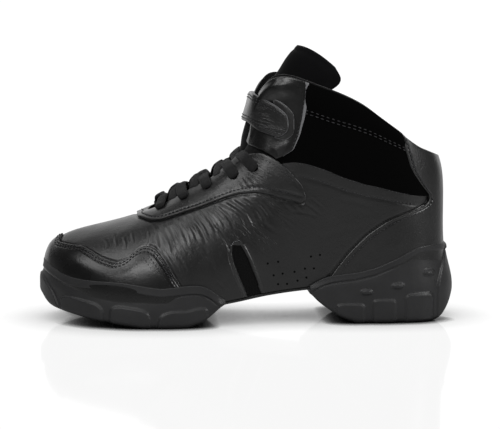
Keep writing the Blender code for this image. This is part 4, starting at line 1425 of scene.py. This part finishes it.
@dataclass
class Tongue:
    """Padded tongue that wraps the front of the ankle."""

    last: Last
    wardrobe: Wardrobe
    rows: tuple[TongueRow, ...] = tuple(TongueRow(*row) for row in (
        (-0.250, 0.4315, 0.120, -0.244, 0.404, 0.9), (-0.190, 0.466, 0.170, -0.178, 0.432, 1.1),
        (-0.126, 0.540, 0.200, -0.104, 0.490, 1.3), (-0.066, 0.610, 0.225, -0.036, 0.546, 1.5),
        (-0.026, 0.684, 0.225, 0.016, 0.602, 1.9), (-0.015, 0.764, 0.236, 0.050, 0.690, 2.3),
        (0.002, 0.850, 0.246, 0.080, 0.780, 2.3), (0.031, 0.932, 0.252, 0.112, 0.858, 2.3),
        (0.066, 1.000, 0.258, 0.152, 0.912, 2.5), (0.088, 1.062, 0.250, 0.194, 0.950, 2.7),
        (0.104, 1.100, 0.240, 0.220, 0.974, 2.5), (0.116, 1.120, 0.205, 0.222, 1.000, 1.3)))
    pad: float = 2.2 * MM
    bend: float = 1.8

    def front(self, values: Array, s: Array) -> Array:
        """Points of the front face: rows of smooth values against shares across."""
        x, z = values[:, None, 0] * self.last.length, self.last.height(values[:, None, 1])
        half = values[:, None, 2] * self.last.width
        edge_x, edge_z = values[:, None, 3] * self.last.length, self.last.height(values[:, None, 4])
        t = np.linspace(0.0, 1.0, len(values))[:, None]
        # Its last tenth narrows, which rounds the upper corners.
        s = s[None, :] * (1.0 - 0.11 * np.clip((t - 0.90) / 0.10, 0.0, 1.0) ** 2)
        back = np.abs(s) ** self.bend
        fall = np.abs(s) ** (self.bend + 1.0 * soft_step(t, 0.72, 0.98))
        middle = np.array([self.last.middle(float(v)) for v in x[:, 0]])[:, None]
        return np.stack((x + (edge_x - x) * back, middle + half * s, z + (edge_z - z) * fall), -1)

    def make(self) -> bpy.types.Object:
        """Builds the tongue, thick in the middle and sewn flat along its border."""
        small = 0.02  # keeps the thickness from setting the spacing of the rows
        table = np.array([(r.x, r.z, r.half, r.edge_x, r.edge_z, r.thick) for r in self.rows])
        values = smooth_line(table * (1, 1, 1, 1, 1, small), 0.012)
        values[:, 5] /= small
        even = np.linspace(-1.0, 1.0, 61)
        s = np.sin(even * np.pi / 2) * 0.35 + even * 0.65
        front = self.front(values, s)
        out = unit(np.cross(np.gradient(front, axis=0), np.gradient(front, axis=1)))
        middle = len(s) // 2
        out *= np.where(out[:, middle:middle + 1, 0:1] > 0, -1.0, 1.0)
        t = np.linspace(0, 1, len(values))
        # A raised crown inside a pressed seam, and a flat border outside it.
        border = np.minimum(1 - np.abs(s)[None, :], (1 - t)[:, None] * 2.2)
        full = soft_step(border, 0.0, 0.20)
        crown = soft_step(border, 0.07, 0.40) * 0.9 + 0.25 * full
        seam = -0.5 * np.exp(-((border - 0.09) / 0.025) ** 2)
        thick = values[:, None, 5] * self.pad * (0.20 + 0.8 * full)
        top = front + out * ((crown + seam) * MM * 0.9)[..., None]
        bottom = front - out * thick[..., None]
        points = closed(top, bottom)
        lower_end = np.repeat(points[:1].mean(1, keepdims=True), points.shape[1], 1)
        upper_edge = 0.5 * (top[-1:] + bottom[-1:])
        points = np.concatenate((lower_end, points, closed(upper_edge, upper_edge)))
        made = grid_object("tongue_padded", points, (self.wardrobe.nap,))
        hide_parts("tongue")
        return made


@dataclass(frozen=True)
class StrapRow:
    """Row of the strap on the side: x, centre z and half height, in shares."""

    x: float
    z: float
    half: float


@dataclass
class Strap:
    """Ankle strap over the wings and across the tongue, with its fastening patch."""

    last: Last
    wardrobe: Wardrobe
    stitcher: Stitcher
    rows: tuple[StrapRow, ...] = tuple(StrapRow(*row) for row in (
        (0.0865, 0.813, 0.004), (0.0835, 0.8145, 0.028), (0.076, 0.816, 0.044),
        (0.062, 0.821, 0.06), (0.04, 0.837, 0.067), (0.0195, 0.852, 0.068)))
    front_x: float = 0.0062
    front_z: float = 0.877
    front_half: float = 0.058
    lean: float = 3.1 * MM
    bend: float = 22.8 * MM
    base: float = 2.4 * MM
    thick: float = 2.0 * MM

    def side_line(self, rows: Sequence[StrapRow], side: Side, shift: float = 0.0, grow: float = 0.0) -> Array:
        """Lower, middle and upper points with normals for rows on one side.

        Args:
            rows: Rows of the strap.
            side: Side that they are laid on.
            shift: Move towards the heel in millimetres.
            grow: Extra half height as a share.

        Returns:
            Array of rows by three by six.
        """
        length, instep = self.last.length / MM, self.last.instep / MM
        return np.array([[self.last.spot((row.x * length + shift, (row.z + (row.half + grow) * k) * instep),
                                         side, 0.0) for k in (-1, 0, 1)] for row in rows])

    def stations(self) -> Array:
        """Lower, middle and upper points and normals from the lateral to the medial end."""
        near = self.side_line(self.rows, Side.LATERAL)
        far = self.side_line(self.rows[::-1], Side.MEDIAL)
        middle = self.last.middle(self.front_x * self.last.length)
        front = []
        for s in (-0.66, -0.33, 0.0, 0.33, 0.66):
            trio = []
            for k in (-1, 0, 1):
                z = self.last.height(self.front_z + self.front_half * k - 0.012 * s * s)
                x = self.front_x * self.last.length + self.lean * k * (1 - s * s) + 2.2 * MM * abs(s) ** 3
                out = unit(np.array((-1.0 + 0.35 * abs(s), 0.8 * s, 0.0)))
                trio.append((x, middle + self.bend * s, z, *out))
            front.append(trio)
        return np.concatenate((near, front, far))

    def sheet(self, name: str, stations: Array, base: float, thick: float, step: float,
              finish: bpy.types.Material, pillow: float = 0.3 * MM) -> tuple[bpy.types.Object, Array]:
        """Leather strip through stations.

        Args:
            name: Piece's name.
            stations: Array of stations by three by six.
            base: Height of its underside.
            thick: Its thickness.
            step: Spacing along it in metres.
            finish: Its material.
            pillow: Extra height between its stitched edges.

        Returns:
            The object, and its upper face as an array.
        """
        # Directions count for little here, so that the places alone set the spacing.
        weights = np.tile((1, 1, 1, MM, MM, MM), 3)
        even = smooth_line(stations.reshape(len(stations), -1) * weights, step) / weights
        even = even.reshape(len(even), 3, 6)
        t, full_t = turned(20, 0.035)
        w = 2 * t - 1
        low, mid, high = even[:, 0, None], even[:, 1, None], even[:, 2, None]
        curve = (mid + (high - low) * 0.5 * w[None, :, None]
                 + ((high + low) * 0.5 - mid) * (w ** 2)[None, :, None])
        place, out = curve[..., :3], unit(curve[..., 3:])
        full_s = np.ones(len(even))
        full_s[[0, 1, -2, -1]] = (0.0, 0.6, 0.6, 0.0)
        full = np.minimum(full_s[:, None], full_t[None, :])
        raised = pillow * (1 - np.abs(w)[None, :] ** 6)
        top = place + out * (base + (thick + raised) * full)[..., None]
        under = place + out * (base + 0.2 * thick * soft_step(full, 0, 1))[..., None]
        rim = len(t) - 3

        def pick(i: Array, j: Array) -> Array:
            """Raw leather along the cut edges, pale and lightened as a painted highlight."""
            return np.where((i < 2) | (i > len(even) - 3) | (j < 2) | ((j > rim) & (j < rim + 3)), 1, 0)

        return grid_object(name, closed(top, under), (finish, self.wardrobe.cut), pick), top

    def make(self) -> None:
        """Builds the strap, its stitches and its fastening patches."""
        made, top = self.sheet("strap_leather", self.stations(), self.base, self.thick, 1.2 * MM,
                               self.wardrobe.leather)
        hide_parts("strap")
        out = np.cross(np.gradient(top, axis=0), np.gradient(top, axis=1))
        out /= np.linalg.norm(out, axis=-1, keepdims=True) + 1e-12
        centre = np.array((0.02, 0.0, 0.14))  # middle of the ankle
        for column in (5, 7, -6, -8):  # two rows along each long edge
            line, up = top[6:-6, column], out[6:-6, column]
            up = up * np.sign((up * (line - centre)).sum(1, keepdims=True))
            self.stitcher.sew_points(line + up * 0.1 * MM, up)
        for side in Side:
            stations = self.side_line(self.rows[:5], side, shift=3.2, grow=0.012)
            patch, _ = self.sheet("strap_patch_" + side.name.lower(), stations, 1.3 * MM, 1.3 * MM, 1.2 * MM,
                                  self.wardrobe.leather, 0.1 * MM)


@dataclass(frozen=True)
class SideRow:
    """Side view of a sole unit: x as a share of length, rim and bottom of instep."""

    x: float
    rim: float
    bottom: float


@dataclass(frozen=True)
class Pad:
    """Raised pad on a sole's side, in millimetres."""

    start: float
    stop: float
    height: float
    square: float = 3.0  # how square its corners are: 2 is an ellipse
    slant: float = 0.0  # how far it leans for each millimetre of height
    follow: float = 1.0  # how much of the bottom's rise its roof follows


@dataclass
class SoleUnit:
    """Moulded cup sole with a lip, a groove line, side pads and treads."""

    last: Last
    wardrobe: Wardrobe
    name: str
    node: str
    rows: tuple[SideRow, ...]
    pads: tuple[Pad, ...]
    bumps: tuple[tuple[float, float], ...]
    treads: tuple[float, ...]
    open_x: float
    tip: float
    lip_drop: float  # height of its lip in millimetres
    side_steps: int = 54
    edge_radius: float = 3.4 * MM  # of the rounding at the floor
    edge_in: float = 2.6 * MM  # how far that rounding draws in
    rim: float = 1.8 * MM
    pad_step: float = 1.3 * MM

    def places(self) -> Array:
        """Places round the unit from its lateral open end over the tip to the medial one, evenly spaced."""
        fine = np.linspace(0.0, float(TOE), 1401)
        xs = self.last.row(fine)[:, 0]
        start = float(np.interp(-self.open_x, -xs, fine))
        half = np.linspace(start, self.tip, 900)
        far = distances(self.last.row(half)[:, :2])
        even = np.interp(np.linspace(0, far[-1], int(far[-1] / (0.85 * MM))), far, half)
        mirrored = LOOP - even if self.tip > 1 else -even
        return np.concatenate((even, mirrored[-2::-1]))

    def table(self, x: Array, key: str) -> Array:
        """Rounded reading of the side view."""
        rows = sorted(self.rows, key=lambda r: r.x)
        keys, values = [r.x for r in rows], [getattr(r, key) for r in rows]
        share = x / self.last.length
        total = sum(np.interp(share + d, keys, values) for d in np.linspace(-0.009, 0.009, 7)) / 7
        return self.last.height(total)

    def side_rings(self, u: Array, top: Array, rim: Array, bottom: Array, depth: Array) -> list[Array]:
        """Rings up the outer side, from the floor's edge to the rim.

        Args:
            u: Places round the unit.
            top: Points of the upper at the rim's height.
            rim: Heights of the rim.
            bottom: Heights of the bottom.
            depth: How full the relief is at each place, from 0 to 1.

        Returns:
            The rings, lowest first.
        """
        row, out = self.last.row(u), self.last.outward(u)
        bed = row[:, 2]
        edge = np.stack((row[:, 0], row[:, 1], 0 * bed), 1)
        rings = []
        for w in (np.arange(self.side_steps + 1) / self.side_steps) ** 0.9:
            z = bottom + (rim - bottom) * w
            over = soft_step((z - bed) / (rim - bed), -0.35, 1.0)[:, None]
            path = edge * (1 - over) + (top + out * (self.last.gap + self.rim)) * over
            low = np.clip((z - bottom) / self.edge_radius, 0, 1)
            push = -self.edge_in * depth * (1 - np.sqrt(1 - (1 - low) ** 2)) - 0.3 * MM
            push = push + self.relief(path[:, 0] / MM, z / MM, bottom / MM, rim / MM, depth) * MM
            ring = path + out * push[:, None]
            ring[:, 2] = z
            rings.append(ring)
        return rings

    def inner_rings(self, u: Array, top: Array, rim: Array, outer: Array) -> list[Array]:
        """Rings over the rim, down the inner wall and across the bed.

        Args:
            u: Places round the unit.
            top: Points of the upper at the rim's height.
            rim: Heights of the rim.
            outer: Highest ring of the outer side.

        Returns:
            The rings, outermost first.
        """
        bed, clear = self.last.row(u)[:, 2], self.last.outward(u) * self.last.gap
        inner_top = top + clear
        crest = 0.5 * (outer + inner_top)
        crest[:, 2] = rim + 0.35 * MM
        inner_top[:, 2] = rim - 0.2 * MM
        wall_mid = self.last.point(u, self.last.climb_to(u, 0.5 * (rim + bed))) + clear
        wall_low = self.last.point(u, np.zeros_like(u)) + clear
        wall_low[:, 2] = bed
        rings = [crest, inner_top, wall_mid, wall_low]
        for ring in self.towards_spine(wall_low, (0.35, 0.7, 1.0)):
            ring[:, 2] = bed
            rings.append(ring)
        return rings

    def make(self) -> bpy.types.Object:
        """Builds the unit as one closed mesh."""
        u = self.places()
        row = self.last.row(u)
        bed = row[:, 2]
        rim = np.maximum(self.table(row[:, 0], "rim"), bed + 0.7 * MM)
        bottom = np.minimum(np.maximum(self.table(row[:, 0], "bottom"), 0.0), bed - 1.2 * MM)
        depth = soft_step(bed - bottom, 0.0, 12 * MM)
        top = self.last.point(u, self.last.climb_to(u, rim))
        side = self.side_rings(u, top, rim, bottom, depth)
        base = self.towards_spine(side[0], np.linspace(1.0, 0.0, 16)[:-1])
        for ring in base:
            ring[:, 2] = bottom + self.tread(ring[:, 0] / MM) * MM * depth
        rings = base + side + self.inner_rings(u, top, rim, side[-1])
        made = grid_object(self.name, np.stack(rings, 1), (self.wardrobe.rubber,), moulded=True)
        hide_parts(self.node)
        return made

    def towards_spine(self, ring: Array, shares: Sequence[float]) -> list[Array]:
        """Rings between a ring and the middle line, which stops short of the rounded tip."""
        # The ring read from its other end is its other side, so half of both is the middle.
        spine = 0.5 * (ring + ring[::-1])
        stop = self.last.row(np.array((self.tip,)))[0, 0]
        sign = 1.0 if stop < 0 else -1.0
        end = stop + sign * 24 * MM
        past = (spine[:, 0] - end) * sign < 0
        before = spine[~past]
        spine[past] = before[np.argmin(np.abs(before[:, 0] - end))]
        return [ring + (spine - ring) * share for share in shares]

    def relief(self, x: Array, z: Array, bottom: Array, rim: Array, depth: Array) -> Array:
        """Lip, groove, pads and bumps of the side in millimetres."""
        under_rim = rim - z
        total = 0.9 * soft_step(self.lip_drop - under_rim, -0.5, 0.5)
        total = total - 0.45 * np.exp(-((under_rim - self.lip_drop - 0.5) / 0.6) ** 2)  # groove under the lip
        total = total * soft_step(rim - bottom, 3.0, 9.0)
        for pad in self.pads:
            middle, half = 0.5 * (pad.start + pad.stop), 0.5 * (pad.stop - pad.start)
            across = np.abs((x + pad.slant * (z - bottom) - middle) / half)
            crown = np.clip(1 - across ** pad.square, 0, 1) ** (1 / pad.square)
            roof = pad.follow * bottom + pad.height * crown
            within = soft_step((1 - across) * half, 0.0, 1.0)
            total = total + self.pad_step / MM * within * soft_step(roof - z, 0.0, 1.1) * depth
            total = total + 0.25 * np.exp(-((roof - z - 0.3) / 0.7) ** 2) * within * depth
        for bx, bz in self.bumps:
            r = ((x - bx) / 4.2) ** 2 + ((z + self.last.drop / MM - bz) / 2.1) ** 2
            total = total + 1.8 * np.sqrt(np.clip(1 - r, 0, 1))
        return total

    def tread(self, x: Array) -> Array:
        """Height of the tread's cuts above the floor face in millimetres."""
        ribs = np.abs(np.mod(x / 5.2, 1.0) - 0.5)
        cut = 0.9 * soft_step(0.16 - ribs, 0.0, 0.05)
        for g in self.treads:
            cut = np.maximum(cut, 1.5 * soft_step(1.3 - np.abs(x - g), 0.0, 0.4))
        return cut


@dataclass
class Underfoot:
    """Waist under the arch and the insole inside."""

    last: Last
    wardrobe: Wardrobe

    def slab(self, name: str, starts: Array, inset: float, low: float, high: float,
             finish: bpy.types.Material) -> bpy.types.Object:
        """Thin slab between both feather lines.

        Args:
            name: Piece's name.
            starts: Lateral places along it.
            inset: Distance inside the upper's outer face.
            low: Height of its underside over the feather line.
            high: Height of its upper face.
            finish: Its material.

        Returns:
            The object.
        """
        near = self.last.point(starts, 0 * starts) - self.last.outward(starts) * inset
        far = self.last.point(LOOP - starts, 0 * starts) - self.last.outward(LOOP - starts) * inset
        t, full = turned(24, 0.015)
        across = near[:, None] + (far - near)[:, None] * t[None, :, None]
        ends = np.ones(len(starts))
        ends[[0, -1]] = 0.0
        full = np.minimum(full[None, :], ends[:, None])
        middle, half = 0.5 * (low + high), 0.5 * (high - low)
        rise = np.array((0.0, 0.0, 1.0))
        top = across + rise * (middle + half * full)[..., None]
        under = across + rise * (middle - half * full)[..., None]
        return grid_object(name, closed(top, under), (finish,))

    def make(self) -> None:
        """Builds both."""
        places = np.linspace(5.62, 8.42, 60)
        waist = self.slab("waist_leather", places, 0.2 * MM, -2.3 * MM, -0.2 * MM, self.wardrobe.leather)
        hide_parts("waist")
        places = np.concatenate((np.linspace(0.18, 1.5, 24), np.linspace(1.6, 12.6, 120),
                                 np.linspace(12.7, 13.78, 24)))
        insole = self.slab("insole_board", places, 2.9 * MM, 0.0, 3.5 * MM, self.wardrobe.insole)
        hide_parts("insole")


FOREFOOT_ROWS = tuple(SideRow(*row) for row in (
    (-0.515, 0.262, 0.132), (-0.503, 0.250, 0.096), (-0.488, 0.236, 0.080), (-0.462, 0.216, 0.070),
    (-0.429, 0.204, 0.060), (-0.393, 0.200, 0.048), (-0.356, 0.199, 0.040), (-0.327, 0.197, 0.031),
    (-0.295, 0.191, 0.024), (-0.262, 0.182, 0.017), (-0.225, 0.174, 0.017), (-0.160, 0.184, 0.017),
    (-0.140, 0.184, 0.029), (-0.123, 0.180, 0.038), (-0.102, 0.162, 0.064), (-0.088, 0.142, 0.088),
    (-0.069, 0.122, 0.112)))
HEEL_ROWS = tuple(SideRow(*row) for row in (
    (0.135, 0.168, 0.146), (0.148, 0.182, 0.120), (0.164, 0.196, 0.096), (0.184, 0.207, 0.072),
    (0.200, 0.211, 0.054), (0.215, 0.214, 0.039), (0.236, 0.218, 0.026), (0.252, 0.221, 0.017),
    (0.295, 0.238, 0.017), (0.353, 0.278, 0.017), (0.390, 0.310, 0.017), (0.412, 0.322, 0.017),
    (0.440, 0.325, 0.017), (0.457, 0.325, 0.024), (0.470, 0.324, 0.046), (0.485, 0.322, 0.078),
    (0.500, 0.320, 0.130)))
FOREFOOT_PADS = (Pad(-142.0, -127.5, 14.0, 3.0, 0.45), Pad(-127.5, -98.5, 12.0, 4.0, 0.10),
                 Pad(-95.5, -68.5, 12.8, 4.0), Pad(-64.0, -31.0, 11.6, 3.4, -0.05))
HEEL_PADS = (Pad(55.0, 74.0, 13.4, 8.0, 0.0, 0.0), Pad(79.0, 95.0, 16.0, 8.0), Pad(101.0, 121.0, 19.6, 8.0),
             Pad(123.5, 150.0, 33.0, 4.0))


@dataclass
class Studio:
    """Camera at the photograph's angle, pale floor and soft lights."""

    azimuth: float = -4.0
    distance: float = 1.2
    height: float = 0.197
    aim: tuple[float, float, float] = (CENTRE, 0.0, 0.0695)
    lens: float = 128.0
    floor_colour: str = "#5c5c5c"
    sky: float = 0.10

    def camera(self) -> None:
        """Places the camera."""
        turn = math.radians(self.azimuth)
        data = bpy.data.cameras.new("photo_camera")
        data.lens = self.lens
        data.sensor_width = 36.0
        data.clip_end = 60.0
        made = linked("photo_camera", data)
        made.location = (CENTRE + math.sin(turn) * self.distance, -math.cos(turn) * self.distance,
                         self.height)
        made.rotation_euler = (Vector(self.aim) - made.location).to_track_quat("-Z", "Y").to_euler()
        bpy.context.scene.camera = made

    def stage(self) -> None:
        """Lays the floor and hangs the white backdrop."""
        # The floor's glow is darkened near the shoe by its painted shadow; the backdrop's reach is too short
        # to darken it.
        floor = FloorFinish("acrylic_floor_with_painted_shadow", self.floor_colour, self.floor_colour, 0.07).make()
        paper = FloorFinish("lit_backdrop", "#000000", "#000000", 0.9, glow=1.05, cast=1.0,
                            reach=0.1 * MM).make()
        upright = Matrix.Translation((0.0, 2.4, 1.7)) @ Matrix.Rotation(math.pi / 2, 4, "X")
        for name, finish, size, where in (("studio_floor", floor, 2.35, Matrix()),
                                          ("studio_backdrop", paper, 2.7, upright)):
            shape = bmesh.new()
            bmesh.ops.create_grid(shape, x_segments=2, y_segments=2, size=size, matrix=where)
            data = bpy.data.meshes.new(name)
            shape.to_mesh(data)
            shape.free()
            data.materials.append(finish)
            linked(name, data)

    def light(self, name: str, place: Sequence[float], aim: Sequence[float], size: tuple[float, float],
              power: float) -> None:
        """Hangs one soft box.

        Args:
            name: Light's name.
            place: Where it is.
            aim: What it faces.
            size: Its width and height.
            power: Its power in watts.
        """
        data = bpy.data.lights.new(name, "AREA")
        data.shape = "RECTANGLE"
        data.size, data.size_y = size
        data.energy = power
        made = linked(name, data)
        made.location = place
        made.rotation_euler = (Vector(aim) - Vector(place)).to_track_quat("-Z", "Y").to_euler()

    def sun(self, turn: tuple[float, float, float], power: float, angle: float) -> None:
        """Adds a broad even light, like a large overhead diffuser.

        Args:
            turn: Its rotation in degrees.
            power: Its strength.
            angle: Its apparent width in degrees.
        """
        data = bpy.data.lights.new("overhead_diffuser", "SUN")
        data.energy = power
        data.angle = math.radians(angle)
        linked("overhead_diffuser", data).rotation_euler = [math.radians(a) for a in turn]

    def world(self) -> None:
        """Sets a white backdrop that gives the shoe only a dim even light."""
        world = bpy.data.worlds.new("studio")
        world.use_nodes = True
        tree = world.node_tree
        back = tree.nodes["Background"]
        back.inputs["Color"].default_value = (1.0, 1.0, 1.0, 1.0)
        seen = add_node(tree, "ShaderNodeLightPath").outputs["Is Camera Ray"]
        strength = add_node(tree, "ShaderNodeMapRange", {"To Min": self.sky, "To Max": 1.05}, {"Value": seen})
        tree.links.new(strength.outputs["Result"], back.inputs["Strength"])
        bpy.context.scene.world = world

    def make(self) -> None:
        """Sets the whole studio."""
        self.camera()
        self.stage()
        self.light("key_box", (-1.0, -0.55, 1.25), (-0.04, 0.0, 0.06), (0.7, 0.5), 5.0)
        self.light("front_box", (-0.55, -1.35, 1.0), (0.0, 0.0, 0.06), (0.6, 0.6), 9.0)
        self.light("side_box", (1.4, -0.8, 0.9), (0.03, 0.0, 0.08), (0.4, 0.8), 14.0)
        self.sun((8.0, 0.0, 0.0), 0.6, 40.0)
        self.world()
        bpy.context.scene.view_settings.view_transform = "Standard"


def main() -> None:
    """Builds the shoe's pieces in order and reports each."""
    logging.basicConfig(level=logging.INFO, format="%(message)s")
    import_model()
    last = Last()
    wardrobe = Wardrobe()
    stitcher = Stitcher(last)
    upper = UpperShell(last, wardrobe)
    upper.make()
    upper.make_gores()
    overlays = Overlays(last, wardrobe, stitcher)
    overlays.toe_cap()
    overlays.eyestay()
    overlays.counter()
    overlays.wings()
    overlays.collars()
    overlays.quarter_band()
    Perforations(last, wardrobe).make()
    Laces(last, wardrobe).make()
    Tongue(last, wardrobe).make()
    Strap(last, wardrobe, stitcher).make()
    SoleUnit(last, wardrobe, "forefoot_unit", "forefoot_sole", FOREFOOT_ROWS, FOREFOOT_PADS, (),
             (-125.4, -94.9, -63.8), -0.069 * last.length, float(TOE), 5.4).make()
    SoleUnit(last, wardrobe, "heel_unit", "heel_sole", HEEL_ROWS, HEEL_PADS,
             ((75.0, 24.0), (96.0, 28.0), (118.0, 36.0)), (76.5, 98.0, 122.0),
             0.135 * last.length, 0.0, 4.2).make()
    Underfoot(last, wardrobe).make()
    stitches = stitcher.make("stitches", wardrobe.thread)
    Studio().make()


if __name__ == "__main__":
    main()
